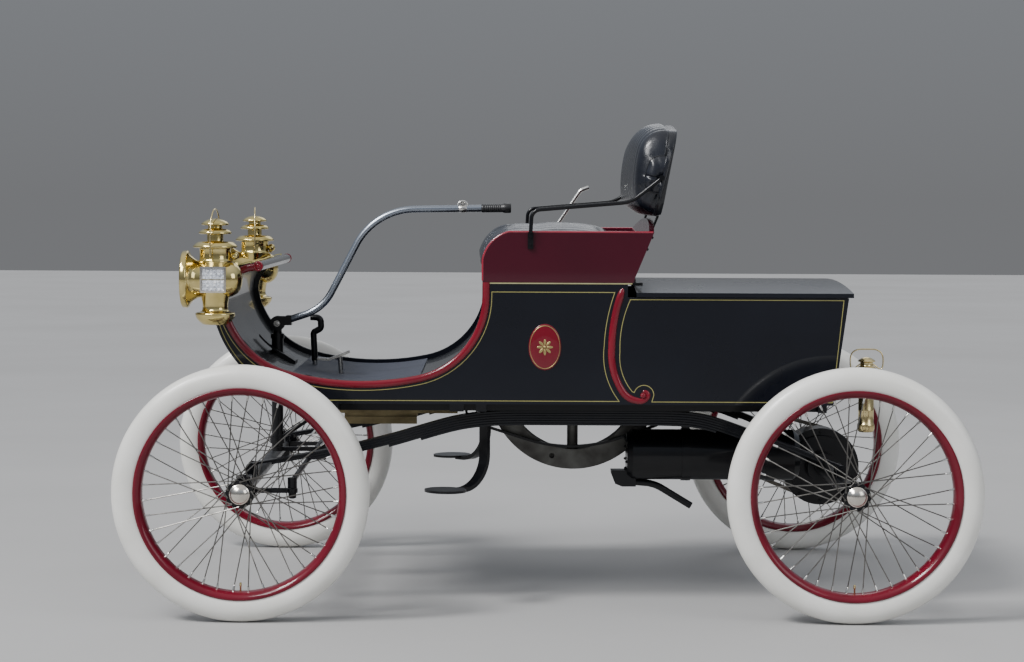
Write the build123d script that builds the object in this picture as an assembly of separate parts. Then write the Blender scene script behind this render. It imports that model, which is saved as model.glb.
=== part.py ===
from build123d import *
import math
import os

os.makedirs("parts", exist_ok=True)

# An early tiller-steered runabout with a curved dash, in millimetres.
# +X is forward, +Y is the car's left, +Z is up. The origin is on the ground,
# at mid wheelbase on the centreline.

# Clearances: a shaft in its bore, two seated faces, two faces that turn past each other
running_clearance = 0.05
seat_clearance = 0.3
end_clearance = 1.5
trim_margin = 10.0

# Running gear
wheelbase = 1676.0
track = 1397.0
tyre_section_height = 67.6
tyre_half_width = 35.5
tyre_sides = 64
rim_seat_radius = 284.0
rim_depth = 16.0
rim_half_width = 34.0
stub_radius = 14.0
hub_wall = 10.0
hub_flange_height = 14.0
hub_flange_thickness = 4.0
hub_half_length = 30.0
hub_cap_radius = 28.0
hub_cap_reach = 44.0
spoke_radius = 1.6
spokes_per_flange = 20
spoke_lead_angle = 63.0
axle_radius = 19.0
rear_axle_radius = 22.0

# Front axle and steering linkage
kingpin_inset = 70.5
kingpin_radius = 9.0
knuckle_barrel_radius = 15.0
knuckle_barrel_height = 50.0
fork_ear_thickness = 12.0
fork_depth = 27.0
steering_arm_length = 135.0
arm_thickness = 12.0
arm_width = 18.0
link_pin_radius = 7.0
open_pivot_clearance = 0.3
tie_rod_radius = 8.0
tie_rod_lift = 19.4
post_lug_height = 16.0
column_inset = 36.0
column_radius = 17.5
column_top_gap = 31.0
spindle_radius = 13.0
tiller_rise = 202.0
tiller_tongue_radius = 21.0
tiller_tongue_width = 18.0
tiller_cheek_width = 8.0
tiller_tube_radius = 9.5
grip_radius = 12.5
grip_start_reach = 612.0
grip_end_reach = 700.0

# Body shell: heights are above the bottom edge of the sides
body_bottom_z = 577.0
body_half_width = 455.0
side_thickness = 20.0
riser_x = 184.0
riser_curve_radius = 228.0
well_radius = 783.0
well_low_x = 524.6
well_low_height = 64.7
dash_inner_x = 907.0
dash_inner_radius = 245.0
curl_inner_radius = 82.0
curl_start_height = 273.0
dash_outer_radius = 319.5
dash_outer_x = 948.0
curl_outer_radius = 104.0
board_drop = 14.0
board_thickness = 9.0
mat_thickness = 3.0
seat_floor_height = 344.0
side_top_height = 303.0
side_step_x = -226.0
rear_bottom_x = -808.0
rear_top_x = -849.0
rear_panel_thickness = 16.0
roll_radius = 13.3
roll_x = 814.0
roll_height = 386.0
bead_radius = 10.5
bead_proud = 6.5

# Deck lid
lid_front_x = -250.0
lid_rear_overhang = 13.0
lid_side_overhang = 5.0
lid_gap = 1.5
lid_thickness = 12.0
lid_crown = 26.0
hinge_pin_radius = 4.0
hinge_barrel_radius = 8.0
hinge_ear_radius = 7.0
hinge_ear_thickness = 6.0
hinge_y = 250.0
hinge_length = 50.0

# Seat
seat_side_thickness = 18.0
seat_side_height = 143.0
seat_board_thickness = 12.0
back_rise = 36.0
back_thickness = 14.0
cushion_gap = 7.0
backrest_inset = 25.0
rail_radius = 5.5
rail_stand_off = 11.0

# Springs and sub-frame
spring_inset = 55.0
spring_width = 44.0
leaf_thickness = 7.5
spring_eye_radius = 13.0
spring_bolt_radius = 7.0
perch_gap = 3.4
perch_ear_radius = 15.0
perch_ear_thickness = 8.0
rail_height = 21.0
rail_plate = 5.0
rail_front_x = 612.0
rail_rear_x = -790.0

# Power plant
crank_x = -82.0
crank_height = 35.0
flywheel_radius = 250.0
flywheel_y = 132.0
flywheel_width = 64.0
flywheel_rim_depth = 58.0
chain_y = -140.0
chain_width = 14.0
chain_depth = 9.0
chain_pitch = 25.4
front_sprocket_radius = 52.0
rear_sprocket_radius = 104.0
differential_radius = 116.0
shaft_radius = 9.5
strap_y = 178.5
strap_width = 18.0
muffler_gap = 1.5
muffler_share = 0.3832
muffler_drop = 160.0
muffler_hanger_x = (-406.0, -650.0)
radiator_y = 215.0

# Places worked out from the driving sizes
front_axle_x = wheelbase / 2
rear_axle_x = -wheelbase / 2
tyre_outer_radius = rim_seat_radius + tyre_section_height
axle_z = tyre_outer_radius
column_x = front_axle_x - column_inset
grip_start_x = column_x - grip_start_reach
grip_end_x = column_x - grip_end_reach
wheel_y = track / 2
kingpin_y = wheel_y - kingpin_inset
rim_inner_radius = rim_seat_radius - rim_depth
hub_barrel_radius = stub_radius + hub_wall
hub_flange_radius = hub_barrel_radius + hub_flange_height
side_inner_y = body_half_width - side_thickness
spring_y = body_half_width - spring_inset
# The muffler fills a share of the space between the strap and the left spring.
strap_outer_y = strap_y + strap_width / 2
muffler_radius = muffler_share * (spring_y - spring_width / 2 - strap_outer_y)
muffler_y = strap_outer_y + muffler_gap + muffler_radius
rail_top_z = body_bottom_z
rail_low = rail_top_z - rail_height
seat_floor_z = body_bottom_z + seat_floor_height
seat_top_z = seat_floor_z + seat_side_height
side_top_z = body_bottom_z + side_top_height
curl_start_z = body_bottom_z + curl_start_height
roll_z = body_bottom_z + roll_height
tiller_pivot_z = body_bottom_z + tiller_rise
crank_z = body_bottom_z + crank_height
muffler_z = body_bottom_z - muffler_drop


def across(face, y_low, y_high):
    """Extrude a side-view face, drawn in x and z, between two widths."""
    return extrude(Plane.XZ.offset(-y_high) * face, amount=y_high - y_low)


def both_sides(shape):
    """The shape and its mirror image on the car's other side."""
    return [shape, shape.mirror(Plane.XZ)]


def bar(start, end, radius):
    """A round bar between two points."""
    line = Vector(*end) - Vector(*start)
    return Plane(origin=start, z_dir=line) * extrude(Circle(radius), amount=line.length)


def pin_across(x, z, radius, y_low, y_high):
    """A cylinder along y."""
    return across(Pos(x, z) * Circle(radius), y_low, y_high)


def upright(x, y, radius, z_low, z_high):
    """A cylinder along z."""
    return Pos(x, y, z_low) * extrude(Circle(radius), amount=z_high - z_low)


def block(x_low, x_high, y_low, y_high, z_low, z_high):
    """A box between two corners."""
    size = (x_high - x_low, y_high - y_low, z_high - z_low)
    centre = ((x_low + x_high) / 2, (y_low + y_high) / 2, (z_low + z_high) / 2)
    return Pos(*centre) * Box(*size)


def face_of(*lines):
    """The face inside a closed run of lines and arcs."""
    edges = [edge for line in lines for edge in line.edges()]
    return make_face(Wire(edges).edges())


def outline_of(points):
    """The face inside a closed run of straight lines."""
    return make_face(Polyline(points, close=True))


def on_side(lines, y):
    """Side-view lines, drawn in x and z, stood up in the plane at one width."""
    return Plane.XZ.offset(-y) * lines


def tube_along(path, radius):
    """A round section swept along a path."""
    section = Plane(origin=path @ 0, z_dir=path % 0) * Circle(radius)
    return sweep(section, path=path)


def turned(section):
    """A closed section of (radius, height) points revolved about +Z."""
    outline = Polyline([(radius, 0, height) for radius, height in section], close=True)
    return revolve(make_face(outline), axis=Axis.Z)


def arch_over(top_z, rise, half_width, drop=0.0):
    """The round space under an arch across the car that falls by rise at the half width, less drop."""
    radius = (half_width**2 + rise**2) / (2 * rise)
    return Pos(0, 0, top_z - radius) * Rot(Y=90) * Cylinder(radius - drop, 3 * wheelbase)


def save(shape, node):
    """Write one node."""
    export_step(shape, f"parts/{node}.step")


# Wheels, built about +Z with their outer side up, then stood on the axles.
rim_edge_height = 5.0
rim_bed_half_width = rim_half_width - 7.0
rim_section = [
    (rim_inner_radius, -13.0),
    (rim_inner_radius, 13.0),
    (rim_seat_radius - 7.0, rim_half_width - 4.0),
    (rim_seat_radius + rim_edge_height, rim_half_width),
    (rim_seat_radius + rim_edge_height, rim_half_width - 3.5),
    (rim_seat_radius, rim_bed_half_width),
    (rim_seat_radius, -rim_bed_half_width),
    (rim_seat_radius + rim_edge_height, 3.5 - rim_half_width),
    (rim_seat_radius + rim_edge_height, -rim_half_width),
    (rim_seat_radius - 7.0, 4.0 - rim_half_width),
]
flange_z = hub_half_length - hub_flange_thickness
flange_half = hub_flange_thickness / 2
hub_section = [
    (stub_radius + running_clearance, -hub_half_length),
    (hub_barrel_radius + 4.0, -hub_half_length),
    (hub_barrel_radius + 6.0, -flange_z - flange_half),
    (hub_flange_radius, -flange_z - flange_half),
    (hub_flange_radius, -flange_z + flange_half),
    (hub_barrel_radius, -flange_z + flange_half),
    (hub_barrel_radius, flange_z - flange_half),
    (hub_flange_radius, flange_z - flange_half),
    (hub_flange_radius, flange_z + flange_half),
    (hub_cap_radius, flange_z + flange_half),
    (hub_cap_radius, hub_half_length),
    (stub_radius + running_clearance, hub_half_length),
]
cap_dome = hub_cap_reach - hub_half_length
cap_sphere_radius = (hub_cap_radius**2 + cap_dome**2) / (2 * cap_dome)


def make_spokes():
    """Two crossing rings of spokes for each flange, one laid outside it and one inside."""
    spokes = []
    hub_reach = hub_flange_radius - 4.0
    rim_reach = rim_inner_radius + 3.0
    lay = flange_half + spoke_radius - 0.4
    for flange in (1, -1):
        for number in range(spokes_per_flange):
            lead = 1 if number % 2 else -1
            rim_angle = math.radians((number + 0.25 * flange) * 360.0 / spokes_per_flange)
            hub_angle = rim_angle + lead * math.radians(spoke_lead_angle)
            hub_end = (hub_reach * math.cos(hub_angle), hub_reach * math.sin(hub_angle),
                       flange * (flange_z + lead * lay))
            rim_end = (rim_reach * math.cos(rim_angle), rim_reach * math.sin(rim_angle), flange * 6.0)
            spokes.append(bar(hub_end, rim_end, spoke_radius))
    return spokes


def make_wheel():
    """Rim, hub with its domed cap, and laced spokes in one piece."""
    cap = Pos(0, 0, hub_cap_reach - cap_sphere_radius) * Sphere(cap_sphere_radius)
    cap = cap & upright(0, 0, hub_cap_radius, hub_half_length, hub_half_length + 2 * cap_dome)
    return turned(rim_section).fuse(turned(hub_section), cap, *make_spokes())


def faceted_ring(section, sides):
    """A ring of flat facets through a closed section of (radius, height) points."""
    def corner(point, number):
        turn = 2 * math.pi * number / sides
        return (point[0] * math.cos(turn), point[0] * math.sin(turn), point[1])

    facets = []
    for number in range(sides):
        for first, second in zip(section, section[1:] + section[:1]):
            facets.append(Face(Wire.make_polygon([corner(first, number), corner(second, number),
                                                  corner(second, number + 1), corner(first, number + 1)])))
    return Solid(Shell(facets))


# The tyre's seat is opened so that its flat facets clear the round rim.
tyre_seat_radius = (rim_seat_radius + seat_clearance) / math.cos(math.pi / tyre_sides)
tyre_height = tyre_outer_radius - tyre_seat_radius
# Half of the tyre's section: share of its height above the seat, and share of its half width.
tyre_half_section = [(0.0, 0.73), (0.42, 1.0), (0.79, 0.82), (1.0, 0.32)]
upper_half = [(tyre_seat_radius + rise * tyre_height, share * tyre_half_width)
              for rise, share in tyre_half_section]
lower_half = [(radius, -height) for radius, height in reversed(upper_half)]

wheel = make_wheel()
tyre = faceted_ring(upper_half + lower_half, tyre_sides)
for end, x in (("front", front_axle_x), ("rear", rear_axle_x)):
    for side, sign in (("left", 1), ("right", -1)):
        place = Pos(x, sign * wheel_y, axle_z) * Rot(X=-90 * sign)
        save(place * wheel, f"wheel_{end}_{side}")
        save(place * tyre, f"tyre_{end}_{side}")

# Front axle: a round beam with a fork for each kingpin and a perch for each spring.
ear_low = axle_z - knuckle_barrel_height / 2 - end_clearance - fork_ear_thickness
ear_high = axle_z + knuckle_barrel_height / 2 + end_clearance + fork_ear_thickness
fork_root_y = kingpin_y - fork_depth
fork_half_width = axle_radius + 1.0
spring_eye_z = axle_z + rear_axle_radius + spring_eye_radius + perch_gap


def make_fork():
    """The C-shaped end of the front axle on the left."""
    ears = block(front_axle_x - fork_half_width, front_axle_x + fork_half_width,
                 fork_root_y - fork_ear_thickness, kingpin_y, ear_low, ear_high)
    ears += upright(front_axle_x, kingpin_y, fork_half_width, ear_low, ear_high)
    gap_low = ear_low + fork_ear_thickness
    gap_high = ear_high - fork_ear_thickness
    gap = block(front_axle_x - 2 * fork_half_width, front_axle_x + 2 * fork_half_width,
                fork_root_y, kingpin_y + 2 * fork_half_width, gap_low, gap_high)
    bore = upright(front_axle_x, kingpin_y, kingpin_radius + running_clearance,
                   ear_low - trim_margin, ear_high + trim_margin)
    return ears - gap - bore


def make_perch(x):
    """Two ears and a bolt that hold a spring's eye over the left of an axle."""
    ear_gap = spring_width / 2 + end_clearance
    bolt_reach = ear_gap + perch_ear_thickness + 4.0
    pieces = []
    for y in (spring_y - ear_gap - perch_ear_thickness, spring_y + ear_gap):
        pieces.append(pin_across(x, spring_eye_z, perch_ear_radius, y, y + perch_ear_thickness))
        pieces.append(block(x - perch_ear_radius, x + perch_ear_radius, y, y + perch_ear_thickness,
                            axle_z, spring_eye_z))
    pieces.append(pin_across(x, spring_eye_z, spring_bolt_radius, spring_y - bolt_reach, spring_y + bolt_reach))
    return pieces


front_beam = pin_across(front_axle_x, axle_z, axle_radius, -fork_root_y + 2, fork_root_y - 2)
front_pieces = []
for piece in (make_fork(), *make_perch(front_axle_x)):
    front_pieces += both_sides(piece)
save(front_beam.fuse(*front_pieces), "front_axle")

# Knuckles: a barrel and kingpin, a stub axle outwards and a steering arm backwards.
link_x = front_axle_x - steering_arm_length
arm_low = axle_z - arm_thickness / 2
arm_high = axle_z + arm_thickness / 2
arm_eye_radius = link_pin_radius + 8.0
stub_collar_radius = stub_radius + 6.0
stub_end_y = wheel_y + hub_half_length - end_clearance
hub_inner_y = wheel_y - hub_half_length
for side, sign in (("left", 1), ("right", -1)):
    fit = running_clearance if side == "left" else open_pivot_clearance
    knuckle = upright(front_axle_x, kingpin_y, knuckle_barrel_radius,
                      axle_z - knuckle_barrel_height / 2, axle_z + knuckle_barrel_height / 2)
    knuckle += upright(front_axle_x, kingpin_y, kingpin_radius, ear_low - 4, ear_high + 4)
    knuckle += pin_across(front_axle_x, axle_z, stub_radius, kingpin_y, stub_end_y)
    knuckle += pin_across(front_axle_x, axle_z, stub_collar_radius, kingpin_y, hub_inner_y - end_clearance)
    arm_half = arm_width / 2
    arm_outline = outline_of([(link_x, kingpin_y - arm_half), (front_axle_x, kingpin_y - arm_half - 4),
                              (front_axle_x, kingpin_y + arm_half + 4), (link_x, kingpin_y + arm_half)])
    knuckle += Pos(0, 0, arm_low) * extrude(arm_outline, amount=arm_thickness)
    knuckle += upright(link_x, kingpin_y, arm_eye_radius, arm_low, arm_high)
    knuckle -= upright(link_x, kingpin_y, link_pin_radius + fit, arm_low - trim_margin, arm_high + trim_margin)
    if sign < 0:
        knuckle = knuckle.mirror(Plane.XZ)
    save(knuckle, f"knuckle_{side}")

# Tie rod: hangs a pin in each steering arm, and stands one in the steering post's arm.
tie_rod_z = arm_high + tie_rod_lift
lug_low = tie_rod_z - tie_rod_radius
lug_high = tie_rod_z + post_lug_height
post_arm_low = lug_high + end_clearance
post_arm_high = post_arm_low + arm_thickness
post_link_x = column_x - steering_arm_length
eye_radius = link_pin_radius + 6.0
nut_radius = link_pin_radius + 4.0
eye_low = arm_high + end_clearance
tie_rod = pin_across(link_x, tie_rod_z, tie_rod_radius, -kingpin_y, kingpin_y)
for y in (-kingpin_y, kingpin_y):
    tie_rod += upright(link_x, y, eye_radius, eye_low, tie_rod_z + 10)
    tie_rod += upright(link_x, y, link_pin_radius, arm_low - 16, eye_low)
    tie_rod += upright(link_x, y, nut_radius, arm_low - 14, arm_low - end_clearance)
tie_rod += block(post_link_x, link_x, 2 - eye_radius, eye_radius - 2, lug_low, lug_high)
tie_rod += upright(post_link_x, 0, eye_radius - 1, lug_low, lug_high)
tie_rod += upright(post_link_x, 0, link_pin_radius, lug_high, post_arm_high + 14)
tie_rod += upright(post_link_x, 0, nut_radius, post_arm_high + end_clearance, post_arm_high + 11)
save(tie_rod, "tie_rod")

# Steering post: a spindle with a tongue for the tiller above and an arm below.
column_bottom_z = post_arm_high + end_clearance
column_top_z = tiller_pivot_z - column_top_gap
tongue_half = tiller_tongue_width / 2
cheek_inner = tongue_half + end_clearance
cheek_outer = cheek_inner + tiller_cheek_width
spindle = upright(column_x, 0, spindle_radius, post_arm_low, tiller_pivot_z)
for side in (1, -1):
    edges = sorted((side * tongue_half, side * (cheek_outer + 2)))
    spindle -= block(column_x - 40, column_x + 40, edges[0], edges[1], tiller_pivot_z - 26, tiller_pivot_z + 40)
post = spindle + upright(column_x, 0, spindle_radius + 5, post_arm_low, post_arm_high)
post += block(post_link_x, column_x, -arm_width / 2, arm_width / 2, post_arm_low, post_arm_high)
post += upright(post_link_x, 0, arm_eye_radius, post_arm_low, post_arm_high)
post -= upright(post_link_x, 0, link_pin_radius + open_pivot_clearance,
                post_arm_low - trim_margin, post_arm_high + trim_margin)
post += pin_across(column_x, tiller_pivot_z, tiller_tongue_radius, -tongue_half, tongue_half)
post -= pin_across(column_x, tiller_pivot_z, link_pin_radius + running_clearance, -cheek_outer, cheek_outer)
save(post, "steering_post")

# Tiller: two cheeks on the post's tongue, a bent tube, a clamp with a ring, and the grip.
socket_x = column_x - tiller_tongue_radius - 6.0
socket_depth = 16.0
tiller_height = 349.0
path_start = (socket_x - 8, tiller_pivot_z + 11.0)
path_knee = (column_x - 137.0, tiller_pivot_z + 45.0)
path_top = (column_x - 291.0, tiller_pivot_z + tiller_height - 7.0)
path_end = (grip_end_x + 8, tiller_pivot_z + tiller_height)
tiller_path = FilletPolyline(path_start, path_knee, path_top, path_end, radius=[136.0, 200.0])
tiller = tube_along(on_side(tiller_path, 0), tiller_tube_radius)
tiller += block(socket_x - socket_depth, socket_x, -cheek_outer, cheek_outer,
                tiller_pivot_z - 5, tiller_pivot_z + 24)
for low in (-cheek_outer, cheek_inner):
    tiller += pin_across(column_x, tiller_pivot_z, tiller_tongue_radius + 1, low, low + tiller_cheek_width)
    tiller += block(socket_x - socket_depth, column_x, low, low + tiller_cheek_width,
                    tiller_pivot_z - 5, tiller_pivot_z + 21)
tiller += pin_across(column_x, tiller_pivot_z, link_pin_radius, -cheek_outer - 4, cheek_outer + 4)
clamp_x = column_x - 555.0
clamp_half = 12.0
ring_radius = 15.5
ring_wire_radius = 2.8
top_slope = (path_end[1] - path_top[1]) / (path_end[0] - path_top[0])
clamp_z = path_end[1] + top_slope * (clamp_x - path_end[0])
tiller += bar((clamp_x - clamp_half, 0, clamp_z), (clamp_x + clamp_half, 0, clamp_z), tiller_tube_radius + 1.2)
tiller += Pos(clamp_x, 0, clamp_z + tiller_tube_radius - 3) * Rot(X=90) * Torus(ring_radius, ring_wire_radius)
save(tiller, "tiller")
grip_low = path_end[1] + top_slope * (grip_end_x - path_end[0])
grip_high = path_end[1] + top_slope * (grip_start_x - path_end[0])
grip = bar((grip_end_x, 0, grip_low), (grip_start_x, 0, grip_high), grip_radius)
grip -= tube_along(on_side(tiller_path, 0), tiller_tube_radius + 2 * running_clearance)
save(grip, "tiller_grip")

# Side view of the body. The well is the open U between seat riser and dash.
well_centre = (well_low_x, body_bottom_z + well_low_height + well_radius)
riser_centre_x = riser_x + riser_curve_radius
riser_reach = well_radius - riser_curve_radius
riser_centre = (riser_centre_x,
                well_centre[1] - math.sqrt(riser_reach**2 - (well_centre[0] - riser_centre_x)**2))
dash_centre_x = dash_inner_x - dash_inner_radius
dash_reach = well_radius - dash_inner_radius
dash_centre = (dash_centre_x,
               well_centre[1] - math.sqrt(dash_reach**2 - (well_centre[0] - dash_centre_x)**2))
curl_angle = math.degrees(math.asin((curl_start_z - dash_centre[1]) / dash_inner_radius))
curl_shift = dash_inner_radius - curl_inner_radius
curl_centre = (dash_centre[0] + curl_shift * math.cos(math.radians(curl_angle)),
               dash_centre[1] + curl_shift * math.sin(math.radians(curl_angle)))
riser_end_angle = math.degrees(math.atan2(riser_centre[1] - well_centre[1], riser_centre[0] - well_centre[0]))
dash_end_angle = math.degrees(math.atan2(dash_centre[1] - well_centre[1], dash_centre[0] - well_centre[0]))
outer_centre = (dash_outer_x - dash_outer_radius, body_bottom_z + dash_outer_radius)
outer_angle = math.degrees(math.asin((curl_start_z - outer_centre[1]) / dash_outer_radius))
outer_shift = dash_outer_radius - curl_outer_radius
outer_curl_centre = (outer_centre[0] + outer_shift * math.cos(math.radians(outer_angle)),
                     outer_centre[1] + outer_shift * math.sin(math.radians(outer_angle)))
outer_curl_end = 101.0
curl_end = 90.0


def at(centre, radius, angle):
    """The point of a circle at an angle in degrees."""
    return (centre[0] + radius * math.cos(math.radians(angle)),
            centre[1] + radius * math.sin(math.radians(angle)))


def riser_lines(drop):
    """The riser's upright and its curve down to the floor, set back by drop."""
    x = riser_x - drop
    return [Line((x, seat_floor_z), (x, riser_centre[1])),
            CenterArc(riser_centre, riser_curve_radius + drop, 180, riser_end_angle + 180)]


def floor_line(drop):
    """The floor's long arc, set back by drop."""
    return CenterArc(well_centre, well_radius + drop, riser_end_angle, dash_end_angle - riser_end_angle)


def dash_lines(drop):
    """The floor, the dash and its curl, set back by drop."""
    return [floor_line(drop),
            CenterArc(dash_centre, dash_inner_radius + drop, dash_end_angle, curl_angle - dash_end_angle),
            CenterArc(curl_centre, curl_inner_radius + drop, curl_angle, curl_end - curl_angle)]


def strip(lines, low, high):
    """The band of a board between two set-backs of the same run of lines."""
    near = lines(low)
    far = lines(high)
    return face_of(*near, *far, Line(near[0] @ 0, far[0] @ 0), Line(near[-1] @ 1, far[-1] @ 1))


def make_side_face():
    """The outline of a body side."""
    inner = [*riser_lines(0), *dash_lines(0)]
    curl_tip = at(outer_curl_centre, curl_outer_radius, outer_curl_end)
    outer = [
        Line(inner[-1] @ 1, curl_tip),
        CenterArc(outer_curl_centre, curl_outer_radius, outer_curl_end, outer_angle - outer_curl_end),
        CenterArc(outer_centre, dash_outer_radius, outer_angle, -90 - outer_angle),
        Polyline((outer_centre[0], body_bottom_z), (rear_bottom_x, body_bottom_z), (rear_top_x, side_top_z),
                 (side_step_x, side_top_z), (side_step_x, seat_floor_z), (riser_x, seat_floor_z)),
    ]
    return face_of(*inner, *outer)


roll_hole = pin_across(roll_x, roll_z, roll_radius, -2 * body_half_width, 2 * body_half_width)
side = across(make_side_face(), side_inner_y, body_half_width) - roll_hole
save(side, "body_side_left")
shaft_hole = pin_across(crank_x, crank_z, shaft_radius + 6, -2 * body_half_width, 0)
save(side.mirror(Plane.XZ) - shaft_hole, "body_side_right")

# Pedal stems go down through slots in the floor board: their lower end, upper end and radius.
hook_pedal_y = -70.0
flat_pedal_y = 95.0
slot_low_z = body_bottom_z + 58.0
hook_stem = ((694.0, hook_pedal_y, slot_low_z), (699.0, hook_pedal_y, body_bottom_z + 166.0), 7.5)
flat_stem = ((604.0, flat_pedal_y, slot_low_z), (608.0, flat_pedal_y, body_bottom_z + 108.0), 7.0)
pedal_stems = (hook_stem, flat_stem)
pedal_slots = [bar(start, end, radius + 1.0) for start, end, radius in pedal_stems]

# Curved board of dash and floor, with the holes for the steering column and the pedals.
dash_board = across(strip(dash_lines, board_drop, board_drop + board_thickness), -side_inner_y, side_inner_y)
dash_board -= roll_hole
dash_board -= upright(column_x, 0, column_radius + seat_clearance, 0, 2 * body_bottom_z)
for slot in pedal_slots:
    dash_board -= slot
save(dash_board, "curved_dash")
riser = across(strip(riser_lines, board_drop, board_drop + board_thickness), -side_inner_y, side_inner_y)
save(riser, "seat_riser")

# Polished roll along the top of the dash, and the red bead that edges each side.
save(pin_across(roll_x, roll_z, roll_radius, -side_inner_y, side_inner_y), "dash_roll")
bead_y = body_half_width + bead_proud - bead_radius


def half_bead(path_lines, radius):
    """A round bead swept on the left side, keeping what stands proud of it."""
    edges = [edge for line in path_lines for edge in on_side(line, bead_y).edges()]
    bead = tube_along(Wire(edges), radius)
    outside = block(-wheelbase, wheelbase, body_half_width, body_half_width + 2 * radius, 0, 3 * body_bottom_z)
    return bead & outside


well_bead = half_bead([*riser_lines(bead_radius), *dash_lines(bead_radius)], bead_radius)
scroll_end = pin_across(roll_x, roll_z, roll_radius, side_inner_y, body_half_width + bead_proud + 2)
save(Compound(both_sides(well_bead + scroll_end)), "dash_mouldings")

# The reversed S bead behind the front panel: its arcs, and the button that its scroll ends in.
s_top = (-204.0, body_bottom_z + 334.0)
s_middle = (-169.0, body_bottom_z + 165.0)
s_low = (-200.0, body_bottom_z + 45.0)
s_foot = (-252.0, body_bottom_z + 12.5)
s_button = (-270.0, body_bottom_z + 28.0)
s_upper_arc = ThreePointArc(s_top, (-177.0, body_bottom_z + 250.0), s_middle)
s_lower_arc = TangentArc(s_middle, s_low, tangent=s_upper_arc % 1)
s_foot_arc = TangentArc(s_low, s_foot, tangent=s_lower_arc % 1)
s_bead = half_bead([s_upper_arc, s_lower_arc, s_foot_arc], bead_radius)
s_bead += pin_across(*s_button, 17.5, body_half_width, body_half_width + bead_proud)
s_bead += pin_across(*s_button, 8.0, body_half_width, body_half_width + bead_proud + 2.5)
oval_centre = (7.0, body_bottom_z + 162.0)
oval_half_width = 46.0
oval_half_height = 65.5
oval_face = Pos(*oval_centre) * Ellipse(oval_half_width, oval_half_height)
oval = across(oval_face, body_half_width, body_half_width + 4)
save(Compound([*both_sides(s_bead), *both_sides(oval)]), "side_mouldings")

# Rear panel under the deck lid's arch, raked like the rear edge of the sides.
rear_rake = (rear_top_x - rear_bottom_x) / (side_top_z - body_bottom_z)
rear_high_z = side_top_z + lid_crown + trim_margin
rear_high_x = rear_bottom_x + rear_rake * (rear_high_z - body_bottom_z)
lid_half_width = body_half_width + lid_side_overhang
lid_low = side_top_z + lid_gap
lid_top_z = lid_low + lid_thickness + lid_crown
rear_face = outline_of([(rear_bottom_x, body_bottom_z), (rear_high_x, rear_high_z),
                        (rear_high_x + rear_panel_thickness, rear_high_z),
                        (rear_bottom_x + rear_panel_thickness, body_bottom_z)])
lid_arch = (lid_top_z, lid_crown, lid_half_width)
rear_panel = across(rear_face, -side_inner_y, side_inner_y) & arch_over(*lid_arch, drop=lid_thickness + lid_gap)
save(rear_panel, "rear_panel")

# Deck lid: a board arched across the car, with two hinge barrels on its front edge.
lid = arch_over(*lid_arch) - arch_over(*lid_arch, drop=lid_thickness)
lid = lid & block(rear_top_x - lid_rear_overhang, lid_front_x, -lid_half_width, lid_half_width,
                  lid_low, lid_top_z + trim_margin)
barrel_low = hinge_y - hinge_length / 2
barrel_high = hinge_y + hinge_length / 2
lid_arch_radius = (lid_half_width**2 + lid_crown**2) / (2 * lid_crown)
hinge_surface_z = lid_top_z - lid_arch_radius + math.sqrt(lid_arch_radius**2 - barrel_low**2)
hinge_x = lid_front_x
hinge_z = hinge_surface_z + hinge_ear_radius + end_clearance
leaf_low_z = hinge_surface_z - lid_thickness / 2
for low in (barrel_low, -barrel_high):
    lid += pin_across(hinge_x, hinge_z, hinge_barrel_radius, low, low + hinge_length)
    lid += block(hinge_x - hinge_barrel_radius, hinge_x, low, low + hinge_length, leaf_low_z, hinge_z)
    lid += block(hinge_x - 28, hinge_x, low, low + hinge_length, leaf_low_z, hinge_surface_z + 2)
lid -= pin_across(hinge_x, hinge_z, hinge_pin_radius + running_clearance, -2 * hinge_y, 2 * hinge_y)
save(lid, "deck_lid")

# Seat box: side panels, floor, front rail, arched back board and the lid's hinge ears.
seat_inner_y = body_half_width - seat_side_thickness
seat_rear_low = (-240.0, seat_floor_z)
seat_rear_high = (-299.0, seat_top_z)
corner_start_z = seat_top_z - 79.0
corner_end_x = riser_x - 74.0
panel_corner = ThreePointArc((riser_x, corner_start_z), (riser_x - 26.0, seat_top_z - 28.0),
                             (corner_end_x, seat_top_z))
panel_face = face_of(panel_corner, Polyline((corner_end_x, seat_top_z), seat_rear_high, seat_rear_low,
                                            (riser_x, seat_floor_z), (riser_x, corner_start_z)))
panel = across(panel_face, seat_inner_y, body_half_width)
seat_floor_top = seat_floor_z + seat_board_thickness
seat_floor = block(seat_rear_low[0] + 3.0, riser_x, -seat_inner_y, seat_inner_y, seat_floor_z, seat_floor_top)
seat_front = block(riser_x - 14, riser_x, -seat_inner_y, seat_inner_y, seat_floor_z, seat_floor_top + 29.0)
back_high_z = seat_top_z + back_rise + trim_margin
back_lean = (seat_rear_high[0] - seat_rear_low[0]) / (seat_top_z - seat_floor_z)
back_high_x = seat_rear_low[0] + back_lean * (back_high_z - seat_floor_z)
back_face = outline_of([seat_rear_low, (back_high_x, back_high_z), (back_high_x + back_thickness, back_high_z),
                        (seat_rear_low[0] + back_thickness, seat_floor_z)])
back_board = across(back_face, -seat_inner_y, seat_inner_y)
back_board = back_board & arch_over(seat_top_z + back_rise, back_rise, seat_inner_y)
ears = []
for low in (barrel_low - end_clearance - hinge_ear_thickness, barrel_high + end_clearance):
    high = low + hinge_ear_thickness
    ears.append(pin_across(hinge_x, hinge_z, hinge_ear_radius, low, high))
    ears.append(block(hinge_x, seat_rear_low[0] + 6, low, high, hinge_z - 5, hinge_z + 5))
ears.append(pin_across(hinge_x, hinge_z, hinge_pin_radius, barrel_low - 8, barrel_high + 8))
seat_pieces = both_sides(panel)
for ear in ears:
    seat_pieces += both_sides(ear)
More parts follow.
